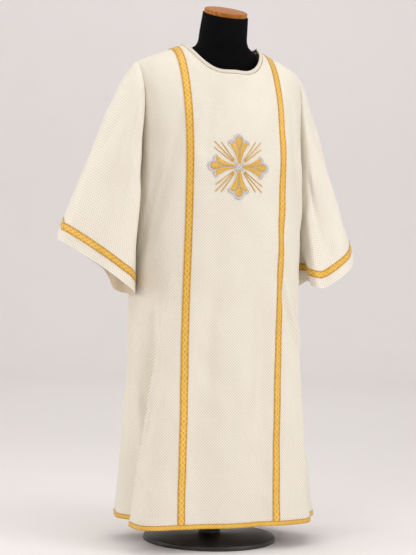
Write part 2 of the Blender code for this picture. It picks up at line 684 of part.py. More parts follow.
def main():
    """Build every piece of the dalmatic and of the form that carries it."""
    clear_scene()
    parts = bpy.data.collections.new(NAME)
    bpy.context.scene.collection.children.link(parts)
    brocade = finish("cream_brocade", (0.86, 0.80, 0.68), 0.55)
    gold = finish("gold_galloon", (0.72, 0.42, 0.07), 0.45, 0.2)
    applique = finish("gold_and_silver_applique", (0.74, 0.60, 0.30), 0.40, 0.2)
    black_cloth = finish("black_form_cloth", (0.012, 0.012, 0.013), 0.90)
    wood = finish("honey_wood", (0.55, 0.25, 0.07), 0.30)
    metal = finish("black_painted_metal", (0.02, 0.02, 0.022), 0.40)

    front = panel(GARMENT_FRONT)
    back = panel(GARMENT_BACK)
    join_panels(front, back)
    sleeves = {WEARERS_RIGHT: sleeve(front, back, WEARERS_RIGHT, RIGHT_SLEEVE),
               WEARERS_LEFT: sleeve(front, back, WEARERS_LEFT, LEFT_SLEEVE)}
    for wearer_side, tube in sleeves.items():
        join_sleeve(front, back, tube, wearer_side)

    for name, cloth, side in (("front", front, GARMENT_FRONT), ("back", back, GARMENT_BACK)):
        flip = side == GARMENT_BACK
        add_object(f"{name}_panel", grid_wall(f"{name}_panel", cloth.grid, cloth.normals, WALL, flip=flip),
                   brocade, parts)
        add_object(f"{name}_hem_galloon",
                   grid_wall(f"{name}_hem_galloon", cloth.grid[:2], cloth.normals[:2], GALLOON_WALL,
                             lift=SEAM_GAP, flip=flip), gold, parts)
        for wearer_side, place in ((WEARERS_RIGHT, "right"), (WEARERS_LEFT, "left")):
            points, normals = galloon_strip(cloth, wearer_side)
            add_object(f"{name}_galloon_{place}",
                       grid_wall(f"{name}_galloon_{place}", points, normals, GALLOON_WALL,
                                 lift=SEAM_GAP, flip=flip), gold, parts)
    for wearer_side, place in ((WEARERS_RIGHT, "right"), (WEARERS_LEFT, "left")):
        tube = sleeves[wearer_side]
        flip = wearer_side == WEARERS_LEFT
        add_object(f"sleeve_{place}", grid_wall(f"sleeve_{place}", tube.grid, tube.normals, WALL,
                                                wrap=True, flip=not flip), brocade, parts)
        add_object(f"sleeve_galloon_{place}",
                   grid_wall(f"sleeve_galloon_{place}", tube.grid[-3:-1], tube.normals[-3:-1],
                             GALLOON_WALL, lift=SEAM_GAP, wrap=True, flip=not flip), gold, parts)
    add_object("neck_binding", binding_mesh(front, back), brocade, parts)
    add_object("cross_applique", cross_mesh(front), applique, parts)

    add_object("form_torso", form_mesh(), black_cloth, parts)
    neck_cap(wood, parts)
    stand(metal, parts)


main()
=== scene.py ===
"""A cream dalmatic on its dress form: brocade, galloons, embroidery and stand.

Metres, +Z up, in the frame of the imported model: the origin is the middle of the foot's underside,
the garment faces -Y, and the wearer's right is -X.
"""
from __future__ import annotations

import logging
import math
from dataclasses import dataclass
from enum import Enum

import bpy
import numpy as np
from mathutils import Matrix, Vector
from mathutils.bvhtree import BVHTree


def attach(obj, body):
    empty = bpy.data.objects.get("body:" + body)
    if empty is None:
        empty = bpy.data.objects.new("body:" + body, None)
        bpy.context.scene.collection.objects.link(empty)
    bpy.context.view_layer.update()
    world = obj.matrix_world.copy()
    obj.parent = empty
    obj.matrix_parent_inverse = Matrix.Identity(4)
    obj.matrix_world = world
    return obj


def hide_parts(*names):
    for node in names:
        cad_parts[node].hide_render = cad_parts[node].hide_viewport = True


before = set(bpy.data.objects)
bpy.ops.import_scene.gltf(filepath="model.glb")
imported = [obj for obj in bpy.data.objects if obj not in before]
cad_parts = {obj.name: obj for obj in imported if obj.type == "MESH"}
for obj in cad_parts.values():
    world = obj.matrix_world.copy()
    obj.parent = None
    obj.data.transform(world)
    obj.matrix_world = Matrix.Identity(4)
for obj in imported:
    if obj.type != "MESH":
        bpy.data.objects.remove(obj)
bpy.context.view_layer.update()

BODY = "root"
LOG = logging.getLogger("dalmatic")

# Sizes that every piece of the garment shares
WALL = 0.0016
GALLOON_WALL = 0.0010
LIFT = 0.0004
GALLOON_WIDTH = 0.020
HEM_GALLOON_WIDTH = 0.0125
SHARP_CLOTH = 50.0
SHARP_THREAD = 60.0


class Side(Enum):
    """Which half of the body a panel covers."""

    FRONT = -1
    BACK = 1


class Hand(Enum):
    """The wearer's right or left."""

    RIGHT = -1
    LEFT = 1

    @property
    def word(self) -> str:
        """The hand's name as pieces use it."""
        return self.name.lower()


# ------------------------------------------------------------------ small geometry helpers

def unit(vectors: np.ndarray) -> np.ndarray:
    """Scale vectors to length one.

    Args:
        vectors: Vectors along the last axis.

    Returns:
        The same directions, one long.
    """
    return vectors / np.maximum(np.linalg.norm(vectors, axis=-1, keepdims=True), 1e-12)


def signed_power(value: np.ndarray, power: float) -> np.ndarray:
    """Raise to a power and keep the sign, for squarish ovals."""
    return np.sign(value) * np.abs(value) ** power


def smooth_step(share: np.ndarray | float) -> np.ndarray | float:
    """Ease from 0 to 1."""
    share = np.clip(share, 0.0, 1.0)
    return share * share * (3.0 - 2.0 * share)


def grid_normals(grid: np.ndarray, wrap: bool = False) -> np.ndarray:
    """Normals of a grid of points, along its rows crossed with up its columns.

    Args:
        grid: Points by row and column.
        wrap: Whether the rows are closed.

    Returns:
        One unit normal for each point.
    """
    if wrap:
        along = np.roll(grid, -1, axis=1) - np.roll(grid, 1, axis=1)
    else:
        along = np.gradient(grid, axis=1)
    return unit(np.cross(along, np.gradient(grid, axis=0)))


def path_lengths(points: np.ndarray) -> np.ndarray:
    """Length from the first point to each point, down the first axis."""
    steps = np.linalg.norm(np.diff(points, axis=0), axis=-1)
    return np.concatenate([np.zeros((1, *steps.shape[1:])), np.cumsum(steps, axis=0)])


def soft_curve(points: list[tuple[float, ...]], count: int) -> np.ndarray:
    """A smooth curve through a few points, evenly spaced along its length.

    Args:
        points: The points that shape it.
        count: How many points to return.

    Returns:
        The curve's points.
    """
    knots = np.array(points, dtype=float)
    ends = np.vstack([2 * knots[0] - knots[1], knots, 2 * knots[-1] - knots[-2]])
    pieces = []
    share = np.linspace(0.0, 1.0, 16, endpoint=False)[:, None]
    for first in range(len(knots) - 1):
        a, b, c, d = ends[first:first + 4]
        pieces.append(0.5 * (2 * b + (c - a) * share + (2 * a - 5 * b + 4 * c - d) * share ** 2
                             + (3 * b - a - 3 * c + d) * share ** 3))
    dense = np.vstack(pieces + [knots[-1:]])
    lengths = path_lengths(dense)
    stops = np.linspace(0.0, lengths[-1], count)
    return np.stack([np.interp(stops, lengths, dense[:, axis]) for axis in range(dense.shape[1])], axis=1)


def places(rows: int, columns: int, wrap: bool = True) -> np.ndarray:
    """Numbers of a grid's points; a wrapped grid repeats its first column at its end."""
    table = np.arange(rows * columns).reshape(rows, columns)
    return np.concatenate([table, table[:, :1]], axis=1) if wrap else table


def quads(table: np.ndarray) -> np.ndarray:
    """The four corners of each cell of a table of numbers or points, in order round the cell."""
    corners = (np.s_[:-1, :-1], np.s_[:-1, 1:], np.s_[1:, 1:], np.s_[1:, :-1])
    return np.stack([table[corner] for corner in corners], axis=2).reshape(-1, 4, *table.shape[2:])


def spin(profile: np.ndarray, sides: int) -> np.ndarray:
    """Points of a profile, radius and height, turned about the Z axis, ring by ring."""
    turn = np.linspace(0.0, 2.0 * math.pi, sides, endpoint=False)
    radius, height = np.asarray(profile, dtype=float).T[:, :, None]
    rings = np.broadcast_arrays(radius * np.cos(turn), radius * np.sin(turn), height)
    return np.stack(rings, axis=-1).reshape(-1, 3)


def make_mesh(name: str, points: np.ndarray, faces: np.ndarray | list, lie: np.ndarray | None = None,
              sharp: float | None = SHARP_CLOTH) -> bpy.types.Mesh:
    """A smooth mesh.

    Args:
        name: The mesh's name.
        points: One row for each point.
        faces: Numbers of each face's corners.
        lie: Flat coordinates of each face's corners, in metres, for the UV map.
        sharp: The angle, in degrees, over which edges stay sharp.

    Returns:
        The mesh.
    """
    mesh = bpy.data.meshes.new(name)
    corners = faces.tolist() if isinstance(faces, np.ndarray) else faces
    mesh.from_pydata(np.asarray(points).tolist(), [], corners)
    if lie is not None:
        layer = mesh.uv_layers.new(name="cloth")
        layer.data.foreach_set("uv", np.asarray(lie, dtype=np.float32).ravel())
    mesh.shade_smooth()
    if sharp is not None:
        mesh.set_sharp_from_angle(angle=math.radians(sharp))
    return mesh


def add_piece(name: str, mesh: bpy.types.Mesh, *materials: bpy.types.Material) -> bpy.types.Object:
    """Put a mesh in the scene with its materials."""
    piece = bpy.data.objects.new(name, mesh)
    for material in materials:
        mesh.materials.append(material)
    bpy.context.scene.collection.objects.link(piece)
    return piece


def hand_over(piece: bpy.types.Object, slot: str, *nodes: str) -> bpy.types.Object:
    """Let a piece ride on the body and stand for its CAD nodes, which it hides."""
    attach(piece, BODY)
    if nodes:
        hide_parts(*nodes)
    LOG.info("%s: %d faces", piece.name, len(piece.data.polygons))
    return piece


# ------------------------------------------------------------------ finishes

class Graph:
    """A material's node tree, with short ways to add to it."""

    def __init__(self, name: str) -> None:
        """Start a material with an empty Principled shader."""
        self.material = bpy.data.materials.new(name)
        self.material.use_nodes = True
        self.tree = self.material.node_tree
        self.shader = self.tree.nodes["Principled BSDF"]

    def node(self, kind: str, **settings: object) -> bpy.types.Node:
        """Add a node and set its properties."""
        node = self.tree.nodes.new(kind)
        for key, value in settings.items():
            setattr(node, key, value)
        return node

    def feed(self, socket: bpy.types.NodeSocket, value: object) -> None:
        """Link a socket to another, or set its value."""
        if isinstance(value, bpy.types.NodeSocket):
            self.tree.links.new(value, socket)
        else:
            socket.default_value = value

    def math(self, operation: str, first: object, second: object = 0.0, third: object = 0.0,
             clamp: bool = False) -> bpy.types.NodeSocket:
        """Add a Math node and return its result."""
        node = self.node("ShaderNodeMath", operation=operation, use_clamp=clamp)
        for socket, value in zip(node.inputs, (first, second, third)):
            self.feed(socket, value)
        return node.outputs[0]

    def mix(self, share: object, first: object, second: object) -> bpy.types.NodeSocket:
        """Mix two colours."""
        node = self.node("ShaderNodeMix", data_type="RGBA")
        for index, value in ((0, share), (6, first), (7, second)):
            self.feed(node.inputs[index], value)
        return node.outputs[2]

    def band(self, value: object, middle: float, half_width: float, soft: float) -> bpy.types.NodeSocket:
        """One near a value's middle, falling softly to nought beyond the half width."""
        away = self.math("ABSOLUTE", self.math("SUBTRACT", value, middle))
        node = self.node("ShaderNodeMapRange", interpolation_type="SMOOTHSTEP")
        for index, item in enumerate((away, half_width - soft, half_width + soft, 1.0, 0.0)):
            self.feed(node.inputs[index], item)
        return node.outputs[0]

    def noise(self, coordinate: object, scale: float, detail: float = 3.0,
              stretch: tuple[float, float, float] = (1.0, 1.0, 1.0)) -> bpy.types.NodeSocket:
        """Smooth noise, which may be stretched along an axis."""
        mapping = self.node("ShaderNodeMapping")
        self.feed(mapping.inputs["Vector"], coordinate)
        mapping.inputs["Scale"].default_value = stretch
        node = self.node("ShaderNodeTexNoise")
        self.feed(node.inputs["Vector"], mapping.outputs[0])
        node.inputs["Scale"].default_value = scale
        node.inputs["Detail"].default_value = detail
        return node.outputs["Fac"]

    def uv(self) -> tuple[bpy.types.NodeSocket, bpy.types.NodeSocket, bpy.types.NodeSocket]:
        """The cloth's flat coordinates: as a vector, across, and along."""
        source = self.node("ShaderNodeUVMap", uv_map="cloth").outputs[0]
        split = self.node("ShaderNodeSeparateXYZ")
        self.feed(split.inputs[0], source)
        return source, split.outputs[0], split.outputs[1]

    def place(self) -> bpy.types.NodeSocket:
        """Object coordinates."""
        return self.node("ShaderNodeTexCoord").outputs["Object"]

    def bump(self, height: object, distance: float, strength: float = 1.0) -> None:
        """Drive the shader's normal with a height."""
        node = self.node("ShaderNodeBump")
        node.inputs["Strength"].default_value = strength
        node.inputs["Distance"].default_value = distance
        self.feed(node.inputs["Height"], height)
        self.tree.links.new(node.outputs[0], self.shader.inputs["Normal"])

    def dress(self, **values: object) -> bpy.types.Material:
        """Set the shader's sockets by name, with underscores for spaces, and return the material."""
        for key, value in values.items():
            self.feed(self.shader.inputs[key.replace("_", " ")], value)
        return self.material


@dataclass(frozen=True)
class Brocade:
    """Satin brocade with a small figure of dotted diamonds."""

    name: str = "cream_brocade"
    ground: tuple[float, ...] = (0.650, 0.580, 0.455, 1.0)
    figure: tuple[float, ...] = (0.930, 0.900, 0.820, 1.0)
    repeat: float = 0.0076
    turned: bool = True
    roughness: float = 0.50
    # half width and softness of a diamond and of its dot, as shares of a cell
    diamond: tuple[float, float] = (0.36, 0.16)
    dot: tuple[float, float] = (0.15, 0.10)
    dot_depth: float = 0.45
    thread_scale: float = 900.0
    cloud_scale: float = 7.0
    relief: float = 0.00045

    def material(self) -> bpy.types.Material:
        """Weave the diamonds from the flat coordinates, on the bias or along the sleeve."""
        graph = Graph(self.name)
        source, across, along = graph.uv()
        lines = (across, along)
        if self.turned:
            lines = (graph.math("ADD", across, along), graph.math("SUBTRACT", across, along))
        cells = [graph.math("FRACT", graph.math("DIVIDE", line, self.repeat)) for line in lines]
        diamond, dot = (graph.math("MULTIPLY", *(graph.band(cell, 0.5, *shape) for cell in cells))
                        for shape in (self.diamond, self.dot))
        figure = graph.math("SUBTRACT", diamond, graph.math("MULTIPLY", dot, self.dot_depth), clamp=True)
        thread = graph.noise(source, self.thread_scale, 2.0, (1.0, 3.0, 1.0))
        cloud = graph.noise(source, self.cloud_scale, 4.0)
        tone = graph.math("MULTIPLY_ADD", thread, 0.30, graph.math("MULTIPLY", figure, 0.85))
        tone = graph.math("ADD", tone, graph.math("MULTIPLY_ADD", cloud, 0.30, -0.22), clamp=True)
        height = graph.math("MULTIPLY_ADD", thread, 0.20, figure)
        graph.bump(height, self.relief, 0.75)
        rough = graph.math("MULTIPLY_ADD", figure, -0.10, self.roughness + 0.06)
        return graph.dress(Base_Color=graph.mix(tone, self.ground, self.figure), Roughness=rough,
                           Sheen_Weight=0.20, Sheen_Roughness=0.45, Specular_IOR_Level=0.35)


@dataclass(frozen=True)
class Galloon:
    """Woven gold braid: selvedge cords, and a vine round a row of rosettes."""

    name: str = "gold_galloon"
    width: float = GALLOON_WIDTH
    repeat: float = 0.030
    # deep: the painted shade in the grooves, and the cords' own darker thread
    deep: tuple[float, ...] = (0.38, 0.165, 0.012, 1.0)
    gold: tuple[float, ...] = (0.660, 0.325, 0.018, 1.0)
    light: tuple[float, ...] = (0.900, 0.590, 0.115, 1.0)
    # middle, half width and softness of each part of the figure
    vine: tuple[float, ...] = (0.0, 0.15, 0.06)
    rosette: tuple[float, ...] = (0.0, 0.46, 0.10)
    eye: tuple[float, ...] = (0.0, 0.16, 0.06)
    leaf: tuple[float, ...] = (1.42, 0.16, 0.08)
    cord: tuple[float, ...] = (0.90, 0.10, 0.03)
    groove_shade: tuple[float, ...] = (0.76, 0.05, 0.03)
    vine_swing: float = 0.42
    twill_pitch: float = 0.0011
    relief: float = 0.0006

    def material(self) -> bpy.types.Material:
        """Draw the braid's figure from its width and length."""
        graph = Graph(self.name)
        source, across, along = graph.uv()
        aside = graph.math("DIVIDE", across, self.width / 2.0)
        turn = graph.math("DIVIDE", along, self.repeat)
        cell = graph.math("ABSOLUTE", graph.math("SUBTRACT", graph.math("FRACT", turn), 0.5))
        wave = graph.math("SINE", graph.math("MULTIPLY", turn, 2.0 * math.pi))
        wave = graph.math("MULTIPLY", wave, self.vine_swing)
        vines = [graph.band(graph.math("ADD", aside, graph.math("MULTIPLY", wave, way)), *self.vine)
                 for way in (1.0, -1.0)]
        apart = graph.math("ABSOLUTE", aside)
        reach = graph.math("ADD", apart, graph.math("MULTIPLY", cell, 3.2))
        rosette, eye, leaf = (graph.band(reach, *part) for part in (self.rosette, self.eye, self.leaf))
        figure = graph.math("MAXIMUM", graph.math("MAXIMUM", *vines),
                            graph.math("MAXIMUM", leaf, graph.math("SUBTRACT", rosette, eye)))
        edge, groove_shade = (graph.band(apart, *part) for part in (self.cord, self.groove_shade))
        bias = graph.math("ADD", across, along)
        twill = graph.math("SINE", graph.math("MULTIPLY", bias, 2.0 * math.pi / self.twill_pitch))
        worn = graph.noise(source, 60.0, 3.0)
        tone = graph.math("ADD", graph.math("MULTIPLY", figure, 0.62), graph.math("MULTIPLY", worn, 0.42),
                          clamp=True)
        colour = graph.mix(tone, self.gold, self.light)
        # Painted shade: the grooves beside the selvedge cords darken towards the deep colour; the cords take
        # a little of it as their own darker thread.
        groove_shade_and_dark_cord = graph.math("MAXIMUM", groove_shade, graph.math("MULTIPLY", edge, 0.35))
        colour = graph.mix(graph.math("MULTIPLY", groove_shade_and_dark_cord, 0.75), colour, self.deep)
        height = graph.math("ADD", graph.math("MULTIPLY", graph.math("MAXIMUM", figure, edge), 0.8),
                            graph.math("MULTIPLY", twill, 0.12))
        graph.bump(height, self.relief, 0.9)
        rough = graph.math("MULTIPLY_ADD", figure, -0.12, 0.50)
        return graph.dress(Base_Color=colour, Roughness=rough, Metallic=0.25, Sheen_Weight=0.10)


@dataclass(frozen=True)
class Satin:
    """Satin-stitch embroidery: fine bright threads laid across each shape."""

    name: str
    low: tuple[float, ...]
    high: tuple[float, ...]
    metallic: float = 0.30
    pitch: float = 0.0007

    def material(self) -> bpy.types.Material:
        """Lay threads across the shape, each a little lighter or darker."""
        graph = Graph(self.name)
        source, _, along = graph.uv()
        phase = graph.math("MULTIPLY", along, math.pi / self.pitch)
        ridge = graph.math("ABSOLUTE", graph.math("SINE", phase))
        strand = graph.noise(source, 420.0, 2.0, (0.12, 1.0, 1.0))
        # Painted shade: the colour darkens in the gaps between the laid threads; the strands also vary at
        # random.
        tone = graph.math("MULTIPLY_ADD", strand, 1.1, graph.math("MULTIPLY_ADD", ridge, 0.25, -0.25),
                          clamp=True)
        graph.bump(graph.math("MULTIPLY_ADD", strand, 0.5, ridge), 0.00025, 0.8)
        return graph.dress(Base_Color=graph.mix(tone, self.low, self.high), Metallic=self.metallic,
                           Roughness=graph.math("MULTIPLY_ADD", strand, 0.16, 0.30), Sheen_Weight=0.15)


@dataclass(frozen=True)
class Jersey:
    """Matte black knitted cloth stretched over the form."""

    name: str = "black_jersey"
    cloth: tuple[float, ...] = (0.0015, 0.0015, 0.002, 1.0)
    lint: tuple[float, ...] = (0.005, 0.005, 0.006, 1.0)

    def material(self) -> bpy.types.Material:
        """Fine knit columns and a little lint."""
        graph = Graph(self.name)
        place = graph.place()
        lint = graph.noise(place, 260.0, 4.0)
        knit = graph.noise(place, 900.0, 1.0, (1.0, 1.0, 0.35))
        graph.bump(graph.math("ADD", lint, knit), 0.0004, 0.6)
        return graph.dress(Base_Color=graph.mix(lint, self.cloth, self.lint),
                           Roughness=graph.math("MULTIPLY_ADD", lint, 0.10, 0.82), Sheen_Weight=0.0,
                           Specular_IOR_Level=0.06)


@dataclass(frozen=True)
class HoneyWood:
    """Varnished honey-coloured wood with rings."""

    name: str = "honey_wood"
    early: tuple[float, ...] = (0.250, 0.075, 0.005, 1.0)
    late: tuple[float, ...] = (0.520, 0.190, 0.025, 1.0)
    # radians of ring per metre, and how far noise shifts them
    rings_turn: float = 520.0
    waver: float = 16.0

    def material(self) -> bpy.types.Material:
        """Wavering growth rings, cut nearly flat, under a clear coat."""
        graph = Graph(self.name)
        place = graph.place()
        drift = graph.noise(place, 9.0, 3.0, (1.0, 4.0, 1.0))
        split = graph.node("ShaderNodeSeparateXYZ")
        graph.feed(split.inputs[0], place)
        line = graph.math("MULTIPLY_ADD", split.outputs[1], self.rings_turn,
                          graph.math("MULTIPLY", drift, self.waver))
        ring = graph.math("MULTIPLY_ADD", graph.math("SINE", line), 0.5, 0.5)
        pore = graph.noise(place, 320.0, 2.0, (0.15, 1.0, 1.0))
        tone = graph.math("MULTIPLY_ADD", pore, 0.35, graph.math("MULTIPLY", ring, 0.65), clamp=True)
        graph.bump(pore, 0.00015, 0.4)
        return graph.dress(Base_Color=graph.mix(tone, self.early, self.late),
                           Roughness=graph.math("MULTIPLY_ADD", pore, 0.15, 0.38), Coat_Weight=0.08,
                           Coat_Roughness=0.10, Specular_IOR_Level=0.20)


@dataclass(frozen=True)
class BlackPaint:
    """Satin black paint on the stand."""

    name: str = "black_paint"
    clean: tuple[float, ...] = (0.010, 0.010, 0.011, 1.0)
    dusty: tuple[float, ...] = (0.035, 0.034, 0.034, 1.0)

    def material(self) -> bpy.types.Material:
        """Fine orange peel, and dust in the tone."""
        graph = Graph(self.name)
        place = graph.place()
        peel = graph.noise(place, 240.0, 2.0)
        dust = graph.noise(place, 11.0, 5.0)
        graph.bump(peel, 0.0002, 0.35)
        return graph.dress(Base_Color=graph.mix(dust, self.clean, self.dusty),
                           Roughness=graph.math("MULTIPLY_ADD", dust, 0.20, 0.30))


@dataclass(frozen=True)
class StudioPaper:
    """The pale paper sweep behind and below."""

    name: str = "studio_paper"
    colour: tuple[float, ...] = (0.86, 0.835, 0.830, 1.0)

    def material(self) -> bpy.types.Material:
        """Nearly even paper with a faint mottle."""
        graph = Graph(self.name)
        mottle = graph.noise(graph.place(), 3.0, 3.0)
        paler = tuple(min(1.0, part * 1.03) for part in self.colour)
        return graph.dress(Base_Color=graph.mix(mottle, self.colour, paler), Roughness=0.9)


class Wardrobe:
    """Every finish, made once."""

    def __init__(self) -> None:
        """Make the materials."""
        self.brocade = Brocade().material()
        # Sleeve cloth: the same brocade with its figure running along the sleeve; its lighter ground is
        # painted light for the brighter sleeves.
        self.sleeve_brocade = Brocade(name="sleeve_brocade", ground=(0.710, 0.640, 0.520, 1.0),
                                      turned=False, repeat=0.0070).material()
        # The cloth's inner skin: the brocade's reverse, made darker and browner than its face as painted
        # shade for the shaded insides of the sleeves and under the hems.
        self.reverse = Brocade(name="brocade_reverse_painted_shade", ground=(0.62, 0.50, 0.34, 1.0),
                               figure=(0.74, 0.63, 0.46, 1.0), roughness=0.66).material()
        self.binding = Brocade(name="binding_brocade", ground=(0.68, 0.61, 0.485, 1.0),
                               figure=(0.85, 0.79, 0.67, 1.0), repeat=0.0036).material()
        self.galloon = Galloon().material()
        self.hem_galloon = Galloon(name="narrow_gold_galloon", width=HEM_GALLOON_WIDTH,
                                   repeat=0.020).material()
        self.gold = Satin("gold_satin_stitch", (0.56, 0.29, 0.025, 1.0), (0.93, 0.62, 0.15, 1.0)).material()
        self.silver = Satin("silver_satin_stitch", (0.42, 0.40, 0.43, 1.0),
                            (0.82, 0.80, 0.83, 1.0)).material()
        self.pearl = Satin("pearl_satin_stitch", (0.62, 0.59, 0.57, 1.0),
                           (0.92, 0.90, 0.87, 1.0), 0.1).material()
        self.jersey = Jersey().material()
        self.wood = HoneyWood().material()
        self.paint = BlackPaint().material()


# ------------------------------------------------------------------ the cut and hang of the cloth

@dataclass(frozen=True)
class Fold:
    """A fold of the skirt: round the body in degrees, spread, depth at the hem, top, drift per metre."""

    around: float
    spread: float
    depth: float
    top: float
    drift: float = 0.0


@dataclass(frozen=True)
class Crease:
    """A soft trough or ridge along a line in the cloth's own flat coordinates.

    A positive depth stands out, a negative one sinks in; the lean makes one flank steeper. A step
    raises the left of the line and sinks its right, as where one fold laps over the next.
    """

    line: tuple[tuple[float, float], ...]
    depth: float
    width: float
    lean: float = 0.0
    taper: float = 0.35
    step: float = 0.0

    def push(self, flat: np.ndarray) -> np.ndarray:
        """How far this crease moves each point of the cloth.

        Args:
            flat: Flat coordinates by row and column.

        Returns:
            The distance along the normal, by row and column.
        """
        path = soft_curve(list(self.line), 120)
        reach = 4.0 * self.width
        low, high = path.min(axis=0) - reach, path.max(axis=0) + reach
        near = np.all((flat > low) & (flat < high), axis=-1)
        result = np.zeros(flat.shape[:2])
        points = flat[near]
        if not len(points):
            return result
        away = points[:, None, :] - path[None, :, :]
        distance = np.linalg.norm(away, axis=-1)
        nearest = distance.argmin(axis=1)
        index = np.arange(len(points))
        forwards = unit(np.gradient(path, axis=0))[nearest]
        offset = away[index, nearest]
        aside = forwards[:, 0] * offset[:, 1] - forwards[:, 1] * offset[:, 0]
        gap = distance[index, nearest]
        share = nearest / (len(path) - 1)
        fade = smooth_step(share / self.taper) * smooth_step((1.0 - share) / self.taper)
        skew = 1.0 + self.lean * np.tanh(aside / self.width)
        share_away = gap / (self.width * skew)
        lap = self.step * 2.33 * aside / self.width
        result[near] = fade * (self.depth + lap) * np.exp(-share_away ** 2)
        return result


@dataclass(frozen=True)
class Ripple:
    """Faint irregular waviness of a whole piece of cloth."""

    height: float = 0.0007
    pitch: float = 0.060
    seed: int = 3

    def push(self, flat: np.ndarray) -> np.ndarray:
        """Sum a few waves of uneven direction and length."""
        chance = np.random.default_rng(self.seed)
        result = np.zeros(flat.shape[:2])
        waves = 14
        for _ in range(waves):
            turn = chance.uniform(-0.9, 0.9)
            pitch = self.pitch * chance.uniform(0.6, 2.2)
            phase = chance.uniform(0.0, 2 * math.pi)
            run = flat[..., 0] * math.cos(turn) + flat[..., 1] * math.sin(turn)
            result += np.sin(2 * math.pi * run / pitch + phase) * pitch / self.pitch
        return result * self.height / math.sqrt(waves)


@dataclass
class Cloth:
    """A grid of points with outward normals and its flat lie."""

    grid: np.ndarray
    normals: np.ndarray
    flat: np.ndarray


@dataclass(frozen=True)
class BodyCut:
    """Shape of the body of the garment: oval sections below the arms, a shoulder vault above."""

    hem_height: float = 0.062
    underarm_height: float = 0.968
    neck_point_height: float = 1.340
    neck_half_width: float = 0.115
    shoulder_half_width: float = 0.235
    shoulder_fall: float = 0.43
    ridge_rounding: float = 0.030
    shoulder_end_rounding: float = 0.45
    shoulder_crowding: float = 0.42
    ridge_y: float = 0.020
    band_centre: float = 0.135
    armhole_pull: float = 0.062
    front_neck_angle: float = 45.0
    back_neck_angle: float = 66.0
    neck_squareness: float = 2.7
    hem_drift: float = -0.016
    squareness: float = 2.5
    seam_gap: float = 0.0003
    neck_columns: int = 24
    neck_crowding: float = 2.3
    galloon_columns: int = 4
    outer_columns: int = 44
    hem_rows: int = 3
    skirt_rows: int = 132
    shoulder_rows: int = 62
    # height, half width, front, back, side seam's y
    sections: tuple[tuple[float, ...], ...] = (
        (0.062, 0.275, 0.196, 0.172, -0.018),
        (0.250, 0.256, 0.180, 0.168, -0.005),
        (0.450, 0.243, 0.167, 0.171, 0.005),
        (0.650, 0.236, 0.158, 0.173, 0.010),
        (0.968, 0.233, 0.153, 0.160, 0.015),
    )
    folds: tuple[Fold, ...] = (
        Fold(-34.0, 14.0, 0.036, 0.82, -22.0),
        Fold(-57.0, 12.0, -0.054, 0.84, -36.0),
        Fold(-108.0, 16.0, -0.012, 0.80),
        Fold(-20.0, 11.0, -0.010, 0.90, 8.0),
        Fold(14.0, 9.0, -0.014, 0.80, -4.0),
        Fold(42.0, 12.0, 0.012, 0.70, 6.0),
        Fold(66.0, 10.0, -0.013, 0.72, 8.0),
        Fold(88.0, 13.0, 0.020, 0.60),
        Fold(113.0, 11.0, -0.030, 0.74),
        Fold(138.0, 12.0, 0.026, 0.82, -6.0),
        Fold(162.0, 10.0, -0.028, 0.90, -4.0),
        Fold(184.0, 11.0, 0.024, 0.86, 3.0),
        Fold(207.0, 10.0, -0.030, 0.78, 6.0),
        Fold(229.0, 12.0, 0.014, 0.88),
    )

    @property
    def middle(self) -> int:
        """The column on the centre line."""
        return self.neck_columns + self.galloon_columns + 1 + self.outer_columns

    @property
    def below(self) -> int:
        """The row at the underarm."""
        return self.hem_rows + self.skirt_rows

    def band(self, hand: Hand) -> slice:
        """The columns under one vertical galloon."""
        first = self.middle + hand.value * (self.neck_columns + 1)
        last = first + hand.value * self.galloon_columns
        return slice(min(first, last), max(first, last) + 1)

    def size_at(self, height: float) -> np.ndarray:
        """Half width, front, back and seam place of the oval at a height."""
        table = np.array(self.sections)
        return np.array([np.interp(height, table[:, 0], table[:, field]) for field in range(1, 5)])

    def fold_push(self, around: np.ndarray, height: float) -> np.ndarray:
        """How far the folds push the oval out, by the angle round it in degrees."""
        push = np.zeros_like(around)
        for fold in self.folds:
            below = fold.top - height
            growth = smooth_step(below / (fold.top - self.hem_height))
            away = (around - fold.around - fold.drift * below + 180.0) % 360.0 - 180.0
            push += fold.depth * growth * np.exp(-(away / fold.spread) ** 2)
        return push

    def half_section(self, height: float, side: Side) -> np.ndarray:
        """Plan points from the wearer's right side seam to the left one."""
        half_width, front, back, seam_y = self.size_at(height)
        quarter = 180
        around = np.radians(np.linspace(-180.0, 180.0, 4 * quarter + 1))
        depth = np.where(np.cos(around) > 0.0, front + seam_y, back - seam_y)
        power = 2.0 / self.squareness
        loop = np.stack([half_width * signed_power(np.sin(around), power),
                         seam_y - depth * signed_power(np.cos(around), power)], axis=1)[:-1]
        tangent = unit(np.roll(loop, -3, axis=0) - np.roll(loop, 3, axis=0))
        outward = np.stack([tangent[:, 1], -tangent[:, 0]], axis=1)
        loop = loop + outward * self.fold_push(np.degrees(around[:-1]), height)[:, None]
        if side is Side.FRONT:
            return loop[quarter:3 * quarter + 1]
        return np.concatenate([loop[3 * quarter:], loop[:quarter + 1]])[::-1]

    def reaches(self, height: float, side: Side) -> tuple[float, float]:
        """Cut distances from the centre line to the two side seams."""
        steps = np.linalg.norm(np.diff(self.half_section(height, side), axis=0), axis=1)
        half = len(steps) // 2
        return float(steps[:half].sum()), float(steps[half:].sum())

    def columns(self, to_right: float, to_left: float, drift: float = 0.0) -> np.ndarray:
        """Cut distances of every column from the centre line."""
        steps = np.linspace(0.0, 1.0, self.neck_columns + 1)
        neck = self.neck_half_width * (1.0 - (1.0 - steps) ** self.neck_crowding)
        edges = self.band_centre + np.linspace(-0.5, 0.5, self.galloon_columns + 1) * GALLOON_WIDTH
        share = np.linspace(0.0, 1.0, self.outer_columns + 1)[1:]
        halves = [np.concatenate([neck[1:], edges, edges[-1] + share * (reach - edges[-1])])
                  for reach in (to_right + drift, to_left - drift)]
        return np.concatenate([-halves[0][::-1], [0.0], halves[1]]) + drift

